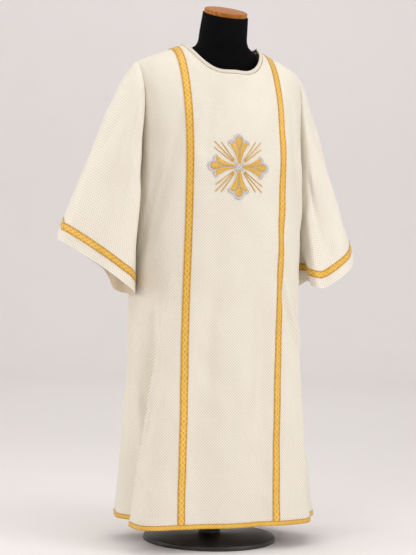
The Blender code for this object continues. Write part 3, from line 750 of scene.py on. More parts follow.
    def plan(self, height: float, side: Side, distances: np.ndarray) -> np.ndarray:
        """Plan points at cut distances from the centre line."""
        line = self.half_section(height, side)
        lengths = path_lengths(line)
        stops = distances + lengths[len(lengths) // 2]
        return np.stack([np.interp(stops, lengths, line[:, axis]) for axis in (0, 1)], axis=1)

    def ridge_height(self, x: np.ndarray) -> np.ndarray:
        """Height of the shoulder line, carried on as a soft hump over the neck opening."""
        fall = np.hypot(x, self.ridge_rounding) - math.hypot(self.neck_half_width, self.ridge_rounding)
        return self.neck_point_height - self.shoulder_fall * fall

    def skirt_row(self, height: float, side: Side) -> tuple[np.ndarray, np.ndarray]:
        """A level row below the underarm, and its cut distances."""
        trim = self.seam_gap / 2.0
        drift = 0.0
        if side is Side.FRONT:
            below = (self.underarm_height - height) / (self.underarm_height - self.hem_height)
            drift = self.hem_drift * float(smooth_step(below))
        distances = self.columns(*(reach - trim for reach in self.reaches(height, side)), drift)
        plan = self.plan(height, side, distances)
        return np.column_stack([plan, np.full(len(plan), height)]), distances - drift

    def shoulder_row(self, share: float, side: Side) -> tuple[np.ndarray, np.ndarray]:
        """A row above the underarm, on a quarter oval from chest to shoulder, and its distances."""
        to_right, to_left = self.reaches(self.underarm_height, side)
        trim = self.seam_gap / 2.0
        pull = trim + self.armhole_pull * math.sin(math.pi * share)
        distances = self.columns(to_right - pull, to_left - pull)
        plan = self.plan(self.underarm_height, side, distances)
        fixed = self.band_centre + GALLOON_WIDTH / 2.0
        reach = np.where(distances < 0.0, to_right, to_left) - pull
        beyond = np.clip((np.abs(distances) - fixed) / (reach - fixed), 0.0, 1.0)
        wide = np.sign(distances) * (fixed + beyond * (self.shoulder_half_width - fixed))
        level = np.where(np.abs(distances) < fixed, plan[:, 0], wide)
        neck_angle = self.front_neck_angle if side is Side.FRONT else self.back_neck_angle
        outwards = np.clip(np.abs(distances) / self.neck_half_width, 0.0, 1.0)
        inside = (1.0 - outwards ** self.neck_squareness) ** (1.0 / self.neck_squareness)
        angle = share * np.arccos(math.cos(math.radians(neck_angle)) * inside)
        rounding = np.abs(np.cos(angle)) ** (1.0 - self.shoulder_end_rounding * beyond)
        x = plan[:, 0] + (level - plan[:, 0]) * (1.0 - np.cos(angle))
        y = self.ridge_y + (plan[:, 1] - self.ridge_y) * rounding + side.value * trim * np.sin(angle)
        z = self.underarm_height + (self.ridge_height(level) - self.underarm_height) * np.sin(angle)
        return np.column_stack([x, y, z]), distances

    def panel(self, side: Side) -> Cloth:
        """The front or the back, from its hem to the neckline and the shoulder seam."""
        hem = np.linspace(self.hem_height, self.hem_height + HEM_GALLOON_WIDTH, self.hem_rows + 1)
        skirt = np.linspace(hem[-1], self.underarm_height, self.skirt_rows + 1)[1:]
        rows = [self.skirt_row(height, side) for height in np.concatenate([hem, skirt])]
        for step in np.linspace(0.0, 1.0, self.shoulder_rows + 1)[1:]:
            rows.append(self.shoulder_row(step + self.shoulder_crowding * step * (1.0 - step), side))
        grid = np.array([row[0] for row in rows])
        across = np.array([row[1] for row in rows])
        flat = np.stack([across, path_lengths(grid)], axis=-1)
        return Cloth(grid, -side.value * grid_normals(grid), flat)


@dataclass(frozen=True)
class SleeveCut:
    """A sleeve, measured as for the wearer's left; angles round its hem run from the outer corner,
    0, by the front, 90, and the body, 180, to the back, 270."""

    hem_centre: tuple[float, float, float]
    hem_reach: tuple[float, float, float]
    hem_half_depth: float
    inner_lift: float
    inner_shift: float
    sag: float
    back_lift: float
    pinch: float
    top_hold: float
    side_hold: float
    droop: float
    # around, spread, depth, start
    folds: tuple[tuple[float, float, float, float], ...]
    squareness: float = 2.8
    end_hold: float = 0.110
    galloon_rise: float = 0.028
    galloon_rows: int = 4
    rise_rows: int = 5
    rows: int = 78
    # how the sleeve leaves the armhole: at its sides, and what its top and its underarm add
    leave_out: tuple[float, float, float] = (0.34, 0.50, -0.14)
    leave_down: tuple[float, float, float] = (0.35, 0.36, 1.00)
    leave_forward: float = 0.80

    def hem(self, angles: np.ndarray, hand: Hand) -> np.ndarray:
        """The hem's squarish oval, pinched at its outer edge and lifted beside the body."""
        outwards = np.array([hand.value, 1.0, 1.0])
        along = signed_power(np.cos(angles), 2.0 / self.squareness)
        across = signed_power(np.sin(angles), 2.0 / self.squareness)
        outer = np.clip(np.cos(angles), 0.0, 1.0)
        inner = np.clip(-np.cos(angles), 0.0, 1.0)
        depth = self.hem_half_depth * (1.0 - self.pinch * outer ** 1.5)
        shift = self.inner_shift * inner * np.sqrt(np.clip(np.sin(angles), 0.0, 1.0))
        behind = np.sqrt(np.clip(-np.sin(angles), 0.0, 1.0))
        rise = self.inner_lift * inner ** 2 - self.sag * (1.0 - along ** 2)
        rise = rise + self.back_lift * behind * smooth_step((np.cos(angles) + 0.75) / 0.45)
        oval = np.array(self.hem_centre) * outwards + along[:, None] * np.array(self.hem_reach) * outwards
        return oval + np.column_stack([hand.value * shift, -across * depth, rise])

    def leaving(self, angles: np.ndarray, hand: Hand) -> np.ndarray:
        """Which way the sleeve leaves the armhole."""
        over = np.maximum(np.cos(angles), 0.0)
        under = np.maximum(-np.cos(angles), 0.0)
        out, down = self.leave_out, self.leave_down
        sideways = hand.value * (out[0] + out[1] * over + out[2] * under)
        falling = down[0] * np.abs(np.sin(angles)) + down[1] * over + down[2] * under
        return unit(np.column_stack([sideways, -self.leave_forward * np.sin(angles), -falling]))

    def tube(self, ring: np.ndarray, hand: Hand) -> Cloth:
        """The sleeve from the armhole's ring of points to its hem.

        Args:
            ring: The armhole's points: the top, down the front, up the back.
            hand: Whose arm it is.

        Returns:
            The cloth; its flat lie has one column more, which closes the tube.
        """
        angles = np.linspace(0.0, 2.0 * math.pi, len(ring), endpoint=False)
        hem = self.hem(angles, hand)
        hold = self.top_hold + (self.side_hold - self.top_hold) * np.abs(np.sin(angles))
        start = ring + self.leaving(angles, hand) * hold[:, None]
        fall = unit(hem - ring - np.array([0.0, 0.0, self.droop]))
        end = hem - fall * self.end_hold
        way = np.linspace(0.0, 1.0, 121)[:, None, None]
        dense = ((1 - way) ** 3 * ring + 3 * (1 - way) ** 2 * way * start
                 + 3 * (1 - way) * way ** 2 * end + way ** 3 * hem)
        normals = hand.value * grid_normals(dense, wrap=True)
        push = np.zeros(dense.shape[:2])
        for around, spread, depth, begins in self.folds:
            away = (np.degrees(angles) - around + 180.0) % 360.0 - 180.0
            growth = smooth_step((way[:, 0, 0] - begins) / (1.0 - begins))
            push += depth * growth[:, None] * np.exp(-(away / spread) ** 2)[None, :]
        dense = dense + normals * push[:, :, None]
        lengths = path_lengths(dense)
        grid = []
        for column, total in enumerate(lengths[-1]):
            top = total - self.galloon_rise - GALLOON_WIDTH
            stops = np.concatenate([np.linspace(0.0, top, self.rows + 1),
                                    np.linspace(top, top + GALLOON_WIDTH, self.galloon_rows + 1)[1:],
                                    np.linspace(total - self.galloon_rise, total, self.rise_rows + 1)[1:]])
            grid.append(np.stack([np.interp(stops, lengths[:, column], dense[:, column, axis])
                                  for axis in range(3)], axis=1))
        grid = np.array(grid).transpose(1, 0, 2)
        closed = np.concatenate([grid, grid[:, :1]], axis=1)
        girth = path_lengths(closed[-1])
        rise = path_lengths(closed)
        flat = np.stack([np.broadcast_to(girth, rise.shape), rise[-1:] - rise], axis=-1)
        return Cloth(grid, hand.value * grid_normals(grid, wrap=True), flat)


RIGHT_SLEEVE = SleeveCut(
    (0.342, 0.006, 0.733), (0.101, 0.010, 0.069), 0.088, 0.0, 0.0, 0.006, 0.036, 0.60, 0.038, 0.090, 0.10,
    ((52.0, 22.0, -0.007, 0.35), (96.0, 20.0, 0.008, 0.45), (218.0, 22.0, -0.014, 0.40),
     (262.0, 22.0, 0.010, 0.35), (312.0, 20.0, -0.008, 0.30)))
LEFT_SLEEVE = SleeveCut(
    (0.334, 0.030, 0.731), (0.097, 0.004, 0.056), 0.090, 0.036, 0.030, 0.023, 0.0, 0.55, 0.004, 0.036, 0.0,
    ((60.0, 24.0, 0.005, 0.40), (100.0, 18.0, -0.007, 0.35), (140.0, 18.0, 0.010, 0.45),
     (228.0, 22.0, -0.013, 0.35), (285.0, 24.0, 0.010, 0.40)))


# ------------------------------------------------------------------ walls, edges and seams

def edge_walk(rows: int, columns: int, wrap: bool) -> list[list[tuple[int, int]]]:
    """The open edges of a grid, each as a run of places with the surface on its left.

    Args:
        rows: How many rows of points there are.
        columns: How many columns of flat coordinates there are.
        wrap: Whether the rows are closed.

    Returns:
        The runs.
    """
    low = [(0, column) for column in range(columns)]
    high = [(rows - 1, column) for column in reversed(range(columns))]
    if wrap:
        return [low, high]
    right = [(row, columns - 1) for row in range(1, rows)]
    left = [(row, 0) for row in reversed(range(rows - 1))]
    return [low + right + high[1:] + left]


def wall_mesh(name: str, cloth: Cloth, thickness: float | np.ndarray, lift: float = 0.0, wrap: bool = False,
              flip: bool = False) -> bpy.types.Mesh:
    """A cloth wall: two skins and the rim between them; the inner skin has the second material.

    Args:
        name: The mesh's name.
        cloth: Points, normals and flat lie.
        thickness: In metres, for the whole or for each point.
        lift: Height of the under side over the points; with none, the wall grows inwards from them.
        wrap: Whether the rows are closed.
        flip: Whether the grid's own faces point inwards.

    Returns:
        The mesh.
    """
    rows, columns = cloth.grid.shape[:2]
    thickness = np.asarray(thickness)[..., None]
    outer = cloth.grid + cloth.normals * (lift + thickness if lift else 0.0)
    inner = cloth.grid + cloth.normals * (lift if lift else -thickness)
    count = rows * columns
    place, flat = places(rows, columns, wrap), cloth.flat
    skin, skin_flat = quads(place), quads(flat)
    rim, rim_flat = [], []
    for walk in edge_walk(rows, place.shape[1], wrap):
        for here, there in zip(walk, walk[1:]):
            first, second = place[here], place[there]
            rim.append((second, first, first + count, second + count))
            rim_flat.append((flat[there], flat[here], flat[here], flat[there]))
    faces = np.concatenate([skin, skin[:, ::-1] + count, np.array(rim)])
    lie = np.concatenate([skin_flat, skin_flat[:, ::-1], np.array(rim_flat)])
    if flip:
        faces, lie = faces[:, ::-1], lie[:, ::-1]
    mesh = make_mesh(name, np.concatenate([outer.reshape(-1, 3), inner.reshape(-1, 3)]), faces, lie)
    slots = np.zeros(len(faces), dtype=np.int32)
    slots[len(skin):2 * len(skin)] = 1
    mesh.polygons.foreach_set("material_index", slots)
    return mesh


def match_normals(first: np.ndarray, second: np.ndarray) -> None:
    """Give two meeting edges one common direction, so that their rims run side by side."""
    shared = unit(first + second)
    first[:] = shared
    second[:] = shared


# ------------------------------------------------------------------ creases

FRONT_CREASES = (
    # the chest, under the arms and across the front
    Crease(((-0.150, 1.10), (-0.190, 0.93), (-0.262, 0.70)), -0.0075, 0.020, 0.35),
    Crease(((-0.118, 1.16), (-0.150, 1.00), (-0.205, 0.80)), 0.0045, 0.018, 0.2),
    Crease(((-0.205, 1.02), (-0.245, 0.86), (-0.300, 0.66)), -0.0060, 0.016, 0.3),
    Crease(((-0.060, 1.20), (-0.085, 1.06), (-0.098, 0.90)), -0.0035, 0.017),
    Crease(((0.178, 1.20), (0.186, 1.04), (0.232, 0.80)), -0.0055, 0.017, -0.3),
    Crease(((0.212, 1.08), (0.238, 0.92), (0.290, 0.74)), 0.0050, 0.015, -0.2),
    Crease(((0.118, 0.98), (0.122, 0.86), (0.150, 0.70)), -0.0030, 0.018),
    # down the skirt, first the edge that laps over the fold beside it
    Crease(((-0.178, 0.690), (-0.192, 0.595), (-0.230, 0.399), (-0.271, 0.201), (-0.314, 0.010),
            (-0.362, -0.20)),
           0.0, 0.0115, 0.0, 0.40, 0.0140),
    Crease(((-0.204, 0.690), (-0.218, 0.595), (-0.256, 0.399), (-0.300, 0.201), (-0.345, 0.010),
            (-0.393, -0.20)),
           -0.0240, 0.021, 0.35, 0.40),
    Crease(((0.138, 0.720), (0.149, 0.638), (0.182, 0.550), (0.244, 0.457), (0.270, 0.400)),
           0.0, 0.013, 0.0, 0.40, 0.0065),
    Crease(((0.066, 0.66), (0.082, 0.46), (0.078, 0.22)), -0.0095, 0.024, 0.3),
    Crease(((0.012, 0.52), (0.024, 0.33), (0.020, 0.10)), 0.0050, 0.020, 0.2),
    Crease(((-0.055, 0.74), (-0.068, 0.50), (-0.060, 0.27)), -0.0045, 0.020, -0.2),
    Crease(((-0.102, 0.56), (-0.124, 0.33), (-0.128, 0.02)), 0.0065, 0.019, -0.3),
    Crease(((0.150, 0.58), (0.166, 0.36), (0.160, 0.05)), -0.0060, 0.020, 0.3),
    Crease(((0.215, 0.62), (0.232, 0.34), (0.240, 0.00)), 0.0070, 0.019, 0.2),
    Crease(((0.272, 0.50), (0.290, 0.28), (0.296, 0.02)), -0.0030, 0.017),
    Crease(((-0.300, 0.44), (-0.332, 0.25), (-0.376, 0.02)), 0.0060, 0.015),
)
BACK_CREASES = (
    Crease(((0.138, 1.15), (0.176, 0.97), (0.240, 0.74)), -0.0065, 0.019, 0.3),
    Crease(((0.196, 1.05), (0.226, 0.90), (0.276, 0.70)), 0.0050, 0.016),
    Crease(((-0.160, 1.18), (-0.182, 1.00), (-0.236, 0.78)), -0.0060, 0.019, -0.3),
    Crease(((-0.218, 1.02), (-0.246, 0.88), (-0.292, 0.72)), 0.0045, 0.015),
    Crease(((0.012, 1.16), (0.006, 1.00), (0.024, 0.84)), -0.0030, 0.022),
    Crease(((-0.070, 1.02), (-0.082, 0.84), (-0.076, 0.60)), -0.0050, 0.021, 0.2),
    Crease(((0.082, 0.90), (0.098, 0.66), (0.092, 0.38)), -0.0070, 0.021, -0.3),
    Crease(((0.028, 0.66), (0.034, 0.40), (0.022, 0.08)), 0.0060, 0.020, 0.2),
    Crease(((-0.030, 0.48), (-0.042, 0.26), (-0.040, 0.00)), -0.0055, 0.018),
    Crease(((-0.140, 0.60), (-0.150, 0.34), (-0.156, 0.04)), 0.0065, 0.019, 0.3),
    Crease(((0.168, 0.64), (0.180, 0.36), (0.176, 0.03)), -0.0060, 0.018),
    Crease(((0.252, 0.56), (0.262, 0.30), (0.270, 0.02)), 0.0070, 0.018, -0.2),
    Crease(((-0.236, 0.62), (-0.252, 0.36), (-0.258, 0.05)), -0.0075, 0.018, 0.2),
    Crease(((-0.318, 0.44), (-0.328, 0.24), (-0.334, 0.02)), 0.0060, 0.016),
)


@dataclass(frozen=True)
class TubeCrease:
    """A crease along a sleeve: from one angle and share of the way down to another."""

    start: tuple[float, float]
    end: tuple[float, float]
    depth: float
    spread: float

    def push(self, degrees: np.ndarray, way: np.ndarray) -> np.ndarray:
        """How far it moves each point.

        Args:
            degrees: The angle of each column.
            way: The share of the way down of each row.

        Returns:
            The distance along the normal, by row and column.
        """
        span = self.end[1] - self.start[1]
        share = np.clip((way - self.start[1]) / span, 0.0, 1.0)
        middle = self.start[0] + (self.end[0] - self.start[0]) * smooth_step(share)
        away = (degrees[None, :] - middle[:, None] + 180.0) % 360.0 - 180.0
        fade = smooth_step((way - self.start[1]) / 0.18) * smooth_step((self.end[1] - way) / 0.18 + 0.15)
        return self.depth * fade[:, None] * np.exp(-(away / self.spread) ** 2)


RIGHT_SLEEVE_CREASES = (
    TubeCrease((70.0, 0.10), (30.0, 0.62), -0.0060, 13.0),
    TubeCrease((104.0, 0.12), (74.0, 0.78), -0.0065, 12.0),
    TubeCrease((132.0, 0.28), (122.0, 1.00), 0.0060, 11.0),
    TubeCrease((150.0, 0.20), (166.0, 0.90), -0.0055, 12.0),
    TubeCrease((20.0, 0.30), (12.0, 0.96), -0.0035, 12.0),
    TubeCrease((238.0, 0.10), (244.0, 0.85), -0.0060, 13.0),
    TubeCrease((286.0, 0.22), (296.0, 1.00), 0.0055, 12.0),
    TubeCrease((335.0, 0.30), (330.0, 0.90), -0.0045, 11.0),
)
LEFT_SLEEVE_CREASES = (
    TubeCrease((92.0, 0.06), (40.0, 0.60), -0.0055, 12.0),
    TubeCrease((128.0, 0.25), (86.0, 0.95), -0.0070, 11.0),
    TubeCrease((64.0, 0.35), (58.0, 1.00), 0.0045, 12.0),
    TubeCrease((22.0, 0.40), (18.0, 0.92), -0.0040, 12.0),
    TubeCrease((196.0, 0.60), (147.0, 1.20), -0.0260, 17.0),
    TubeCrease((138.0, 0.42), (118.0, 1.25), 0.0060, 9.0),
    TubeCrease((226.0, 0.12), (250.0, 0.80), -0.0060, 13.0),
    TubeCrease((268.0, 0.30), (272.0, 1.00), 0.0050, 12.0),
    TubeCrease((318.0, 0.22), (310.0, 0.90), -0.0045, 12.0),
)
SLEEVES = {Hand.RIGHT: (RIGHT_SLEEVE, RIGHT_SLEEVE_CREASES), Hand.LEFT: (LEFT_SLEEVE, LEFT_SLEEVE_CREASES)}
# spacing, length and width
STITCH_SIZES = (0.0052, 0.0032, 0.0008)


# ------------------------------------------------------------------ the garment

class Dalmatic:
    """The garment: front, back, sleeves, galloons and neck binding."""

    seam_fade = 0.030
    stitch_inset = 0.25
    binding_width = 0.011
    binding_height = 0.0048
    binding_gap = 0.0009
    binding_turns = 14
    # share of the height, radians per metre, and start of each pucker
    puckers = ((0.05, 390.0, 0.0), (0.04, 167.0, 1.0))
    # a sleeve's ripples fade in from its shoulder seam, in degrees, and down from its armhole
    shoulder_fade = 20.0
    armhole_fade = 0.15

    def __init__(self, cut: BodyCut, wardrobe: Wardrobe) -> None:
        """Cut the cloth, crease it, and join the edges."""
        self.cut = cut
        self.wardrobe = wardrobe
        self.panels = {side: cut.panel(side) for side in Side}
        for side, creases in ((Side.FRONT, FRONT_CREASES), (Side.BACK, BACK_CREASES)):
            self.crease_panel(side, creases)
        self.join_panels()
        self.sleeves = {hand: self.make_sleeve(hand) for hand in Hand}
        self.edges: list[np.ndarray] = []

    def crease_panel(self, side: Side, creases: tuple[Crease, ...]) -> None:
        """Press the creases into a panel; they fade out towards its seams and its neckline."""
        cloth = self.panels[side]
        push = Ripple(seed=5 + side.value).push(cloth.flat)
        for crease in creases:
            push += crease.push(cloth.flat)
        across, along = cloth.flat[..., 0], cloth.flat[..., 1]
        to_side = np.minimum(across - across[:, :1], across[:, -1:] - across)
        to_top = along[-1:] - along
        fade = smooth_step(to_side / self.seam_fade) * smooth_step(to_top / (2.0 * self.seam_fade))
        cloth.grid = cloth.grid + cloth.normals * (push * fade)[..., None]
        cloth.normals = -side.value * grid_normals(cloth.grid)

    def join_panels(self) -> None:
        """Match the panels along the side seams and the shoulder seams."""
        front, back = (self.panels[side].normals for side in Side)
        below = self.cut.below + 1
        outside = self.cut.neck_columns
        for edge in (0, -1):
            match_normals(front[:below, edge], back[:below, edge])
        for half in (np.s_[:self.cut.middle - outside + 1], np.s_[self.cut.middle + outside:]):
            match_normals(front[-1, half], back[-1, half])

    def make_sleeve(self, hand: Hand) -> Cloth:
        """Hang a sleeve from its armhole and crease it."""
        shape, creases = SLEEVES[hand]
        edge = 0 if hand is Hand.RIGHT else -1
        front, back = (self.panels[side] for side in Side)
        down = front.grid[self.cut.below:, edge][::-1]
        up = back.grid[self.cut.below:, edge]
        ends = [(down[0] + up[-1]) / 2.0, (down[-1] + up[0]) / 2.0]
        ring = np.concatenate([[ends[0]], down[1:-1], [ends[1]], up[1:-1]])
        tube = shape.tube(ring + np.array([hand.value * self.cut.seam_gap, 0.0, 0.0]), hand)
        degrees = np.linspace(0.0, 360.0, len(ring), endpoint=False)
        way = np.linspace(0.0, 1.0, len(tube.grid))
        push = Ripple(seed=11 + hand.value).push(tube.flat[:, :-1])
        join = smooth_step(np.minimum(degrees, 360.0 - degrees) / self.shoulder_fade)
        push = push * smooth_step(way / self.armhole_fade)[:, None] * join[None, :]
        for crease in creases:
            push += crease.push(degrees, way)
        tube.grid = tube.grid + tube.normals * push[..., None]
        tube.normals = hand.value * grid_normals(tube.grid, wrap=True)
        steps = self.cut.shoulder_rows
        for step in range(1, steps):
            for piece, row, column in ((front, -1 - step, step), (back, -1 - step, -step)):
                ours, theirs = piece.normals[row, edge], tube.normals[0, column]
                if (theirs[0] - ours[0]) * hand.value > 0.0:
                    match_normals(ours, theirs)
        top = unit(front.normals[-1, edge] + tube.normals[0, 0])
        for normal in (front.normals[-1, edge], back.normals[-1, edge], tube.normals[0, 0]):
            normal[:] = top
        return tube

    def lay_braid(self, name: str, node: str, strip: Cloth, finish: bpy.types.Material, flip: bool,
                  wrap: bool = False) -> str:
        """Lay a braid on the cloth.

        Args:
            name: The piece's name.
            node: The CAD node that it stands for.
            strip: The cloth under it, with the braid's own flat lie.
            finish: Its material.
            flip: Whether the grid's own faces point inwards.
            wrap: Whether it closes round a sleeve.

        Returns:
            The piece's name.
        """
        mesh = wall_mesh(name, strip, GALLOON_WALL, LIFT, wrap, flip)
        hand_over(add_piece(name, mesh, finish, finish), "gold_galloon", node)
        return name

    def stitch(self, strip: Cloth, closed: bool) -> None:
        """Note the lines of stitches just inside a braid's two edges.

        Args:
            strip: The cloth under the braid, with rows that run along it.
            closed: Whether it closes round a sleeve.
        """
        over = strip.grid + strip.normals * (LIFT + GALLOON_WALL)
        for edge, inward in ((0, 1), (-1, -2)):
            line = over[edge] * (1.0 - self.stitch_inset) + over[inward] * self.stitch_inset
            self.edges.append(np.concatenate([line, line[:1]]) if closed else line)

    @staticmethod
    def declare(piece: bpy.types.Object, wide: float, tall: float, grid: np.ndarray,
                braids: list[str]) -> None:
        """Take a cloth's sizes, grid and braids, and do nothing with them."""

    def build_panel(self, side: Side) -> None:
        """Front or back of the body, with its galloons and hem band."""
        word, cloth, flip = side.name.lower(), self.panels[side], side is Side.BACK
        name = f"{word}_cloth"
        mesh = wall_mesh(name, cloth, WALL, flip=flip)
        panel = hand_over(add_piece(name, mesh, self.wardrobe.brocade, self.wardrobe.reverse),
                          "brocade", f"{word}_panel")
        hem = np.s_[:self.cut.hem_rows + 1]
        lie = cloth.flat[hem][..., ::-1] - np.array([HEM_GALLOON_WIDTH / 2.0, 0.0])
        band = Cloth(cloth.grid[hem], cloth.normals[hem], lie)
        braids = [self.lay_braid(f"{word}_hem_braid", f"{word}_hem_galloon", band,
                                 self.wardrobe.hem_galloon, flip)]
        for hand in Hand:
            part = (np.s_[self.cut.hem_rows:], self.cut.band(hand))
            grid = cloth.grid[part].copy()
            grid[0] += unit(grid[1] - grid[0]) * self.cut.seam_gap
            lie = cloth.flat[part] - np.array([hand.value * self.cut.band_centre, 0.0])
            strip = Cloth(grid, cloth.normals[part], lie)
            braids.append(self.lay_braid(f"{word}_braid_{hand.word}", f"{word}_galloon_{hand.word}", strip,
                                         self.wardrobe.galloon, flip))
            self.stitch(Cloth(grid.transpose(1, 0, 2), strip.normals.transpose(1, 0, 2), lie), False)
        wide = float(np.ptp(cloth.flat[..., 0], axis=1).max())
        self.declare(panel, wide, float(cloth.flat[-1, :, 1].max()), cloth.grid, braids)

    def build_sleeve(self, hand: Hand) -> None:
        """One sleeve and the band near its hem."""
        shape, tube, flip = SLEEVES[hand][0], self.sleeves[hand], hand is Hand.RIGHT
        name = f"{hand.word}_sleeve_cloth"
        mesh = wall_mesh(name, tube, WALL, wrap=True, flip=flip)
        sleeve = hand_over(add_piece(name, mesh, self.wardrobe.sleeve_brocade, self.wardrobe.reverse),
                           "brocade", f"sleeve_{hand.word}")
        part = np.s_[shape.rows:shape.rows + shape.galloon_rows + 1]
        lie = tube.flat[part][..., ::-1] - np.array([shape.galloon_rise + GALLOON_WIDTH / 2.0, 0.0])
        band = Cloth(tube.grid[part], tube.normals[part], lie)
        braid = self.lay_braid(f"{hand.word}_sleeve_braid", f"sleeve_galloon_{hand.word}", band,
                               self.wardrobe.galloon, flip, wrap=True)
        self.stitch(band, True)
        closed = np.concatenate([tube.grid, tube.grid[:, :1]], axis=1)
        girth = float(path_lengths(closed.transpose(1, 0, 2))[-1].max())
        self.declare(sleeve, girth, float(tube.flat[0, :, 1].max()), closed, [braid])

    def build_binding(self) -> None:
        """The rolled band round the neck opening, slightly puckered, with a kink at each shoulder seam."""
        width, height, turns = self.binding_width, self.binding_height, self.binding_turns
        inside = slice(self.cut.middle - self.cut.neck_columns, self.cut.middle + self.cut.neck_columns + 1)
        front, back = (self.panels[side] for side in Side)
        edge = np.concatenate([front.grid[-1, inside], back.grid[-1, inside][::-1][1:-1]])
        normals = np.concatenate([front.normals[-1, inside], back.normals[-1, inside][::-1][1:-1]])
        along = unit(np.roll(edge, -1, axis=0) - np.roll(edge, 1, axis=0))
        inwards = unit(np.cross(normals, along))
        inwards *= np.sign(np.sum(inwards * (edge.mean(axis=0) - edge), axis=1))[:, None]
        up = unit(np.cross(along, inwards))
        up *= np.sign(np.sum(up * normals, axis=1))[:, None]
        centre = edge + inwards * (width / 2.0 + self.binding_gap) - up * WALL / 2.0
        length = path_lengths(np.concatenate([edge, edge[:1]]))
        pucker = 1.0 + sum(share * np.sin(length[:-1] * rate + start) for share, rate, start in self.puckers)
        turn = np.linspace(0.0, 2.0 * math.pi, turns, endpoint=False)[:, None, None]
        ring = (centre + inwards * width / 2.0 * np.cos(turn)
                + up * (height / 2.0 * pucker[:, None]) * np.sin(turn))
        across = np.linspace(0.0, math.pi * width, turns + 1)
        flat = np.stack(np.broadcast_arrays(across[None, :], length[:, None]), axis=-1)
        mesh = closed_tube("neck_roll", ring.transpose(1, 0, 2), flat)
        piece = add_piece("neck_roll", mesh, self.wardrobe.binding)
        hand_over(piece, "brocade", "neck_binding")

    def build(self) -> None:
        """Make every piece of the garment."""
        for side in Side:
            self.build_panel(side)
        for hand in Hand:
            self.build_sleeve(hand)
        self.build_binding()


def closed_tube(name: str, rings: np.ndarray, flat: np.ndarray) -> bpy.types.Mesh:
    """A tube whose rings follow a closed path.

    Args:
        name: The mesh's name.
        rings: Points by place on the path and turn.
        flat: Flat coordinates with one more of each.

    Returns:
        The mesh. The neck roll's path and turns leave its faces pointing inwards.
    """
    place = places(*rings.shape[:2])
    place = np.concatenate([place, place[:1]])
    return make_mesh(name, rings.reshape(-1, 3), quads(place.T), quads(flat.transpose(1, 0, 2)), None)


# ------------------------------------------------------------------ the embroidered cross

class Chest:
    """The front's surface round the emblem, as a depth for each place across and up."""

    half = 0.102
    count = 69
    step = 2.0 * half / (count - 1)

    def __init__(self, front: Cloth) -> None:
        """Cast rays at the front from before it, on a lattice."""
        place = places(*front.grid.shape[:2], wrap=False)
        tree = BVHTree.FromPolygons(front.grid.reshape(-1, 3).tolist(), quads(place).tolist())
        self.depth = np.zeros((self.count, self.count))
        for row in range(self.count):
            for column in range(self.count):
                x = Emblem.aside - self.half + column * self.step
                z = Emblem.height - self.half + row * self.step
                hit = tree.ray_cast((x, -1.0, z), (0.0, 1.0, 0.0))[0]
                self.depth[row, column] = hit.y
        self.slope_up, self.slope_across = np.gradient(self.depth, self.step)

    def sample(self, table: np.ndarray, column: np.ndarray, row: np.ndarray) -> np.ndarray:
        """Values of a lattice table between its places."""
        left = np.clip(column.astype(int), 0, self.count - 2)
        low = np.clip(row.astype(int), 0, self.count - 2)
        right_part, up_part = column - left, row - low
        lower = table[low, left] * (1 - right_part) + table[low, left + 1] * right_part
        upper = table[low + 1, left] * (1 - right_part) + table[low + 1, left + 1] * right_part
        return lower * (1 - up_part) + upper * up_part

    def lay(self, flat: np.ndarray) -> Cloth:
        """Lay flat shapes on the chest.

        Args:
            flat: Places across and up from the emblem's middle, by row and column.

        Returns:
            The points with their outward normals.
        """
        column = (flat[..., 0] + self.half) / self.step
        row = (flat[..., 1] + self.half) / self.step
        depth = self.sample(self.depth, column, row)
        grid = np.stack([Emblem.aside + flat[..., 0], depth, Emblem.height + flat[..., 1]], axis=-1)
        normals = unit(np.stack([self.sample(self.slope_across, column, row), -np.ones_like(depth),
                                 self.sample(self.slope_up, column, row)], axis=-1))
        return Cloth(grid, normals, flat)


@dataclass(frozen=True)
class Stroke:
    """One satin-stitched shape: a spine and half widths along it, as shares of the emblem's reach."""

    spine: tuple[tuple[float, float], ...]
    half_widths: tuple[float, ...]
    crown: float
    base: float
    steps: int = 26
    across: int = 7


GOLD_STROKES = (
    Stroke(((0.0, 0.520), (0.0, 0.620), (0.0, 0.720), (0.0, 0.800), (0.0, 0.865), (0.0, 0.900)),
           (0.006, 0.052, 0.100, 0.114, 0.084, 0.020), 0.0017, 0.0008),
    Stroke(((0.026, 0.085), (0.047, 0.270), (0.068, 0.400), (0.102, 0.520), (0.152, 0.612), (0.216, 0.672),
            (0.292, 0.694)), (0.014, 0.037, 0.056, 0.076, 0.082, 0.068, 0.010), 0.0015, 0.0008),
)
SILVER_STROKES = (
    Stroke(((0.120, 0.706), (0.138, 0.790), (0.114, 0.880), (0.062, 0.932), (0.0, 0.948)),
           (0.012, 0.022, 0.032, 0.042, 0.046), 0.0015, 0.0008),
    Stroke(((0.322, 0.680), (0.304, 0.746), (0.224, 0.788), (0.156, 0.764), (0.122, 0.716)),
           (0.014, 0.027, 0.030, 0.025, 0.012), 0.0014, 0.0008),
    Stroke(((0.014, 0.500), (0.056, 0.600), (0.100, 0.680), (0.122, 0.716)),
           (0.006, 0.009, 0.009, 0.008), 0.0011, 0.0008, 16),
    Stroke(((0.008, 0.008), (0.066, 0.066), (0.104, 0.104), (0.142, 0.142)),
           (0.006, 0.016, 0.024, 0.012), 0.0014, 0.0008, 14),
)
AXIS_STROKE = Stroke(((0.0, 0.110), (0.0, 0.300), (0.0, 0.500)), (0.006, 0.010, 0.010), 0.0009, 0.0008, 14)
RAY_TIPS = ((0.740, 0.770), (0.555, 0.780), (0.728, 0.560))


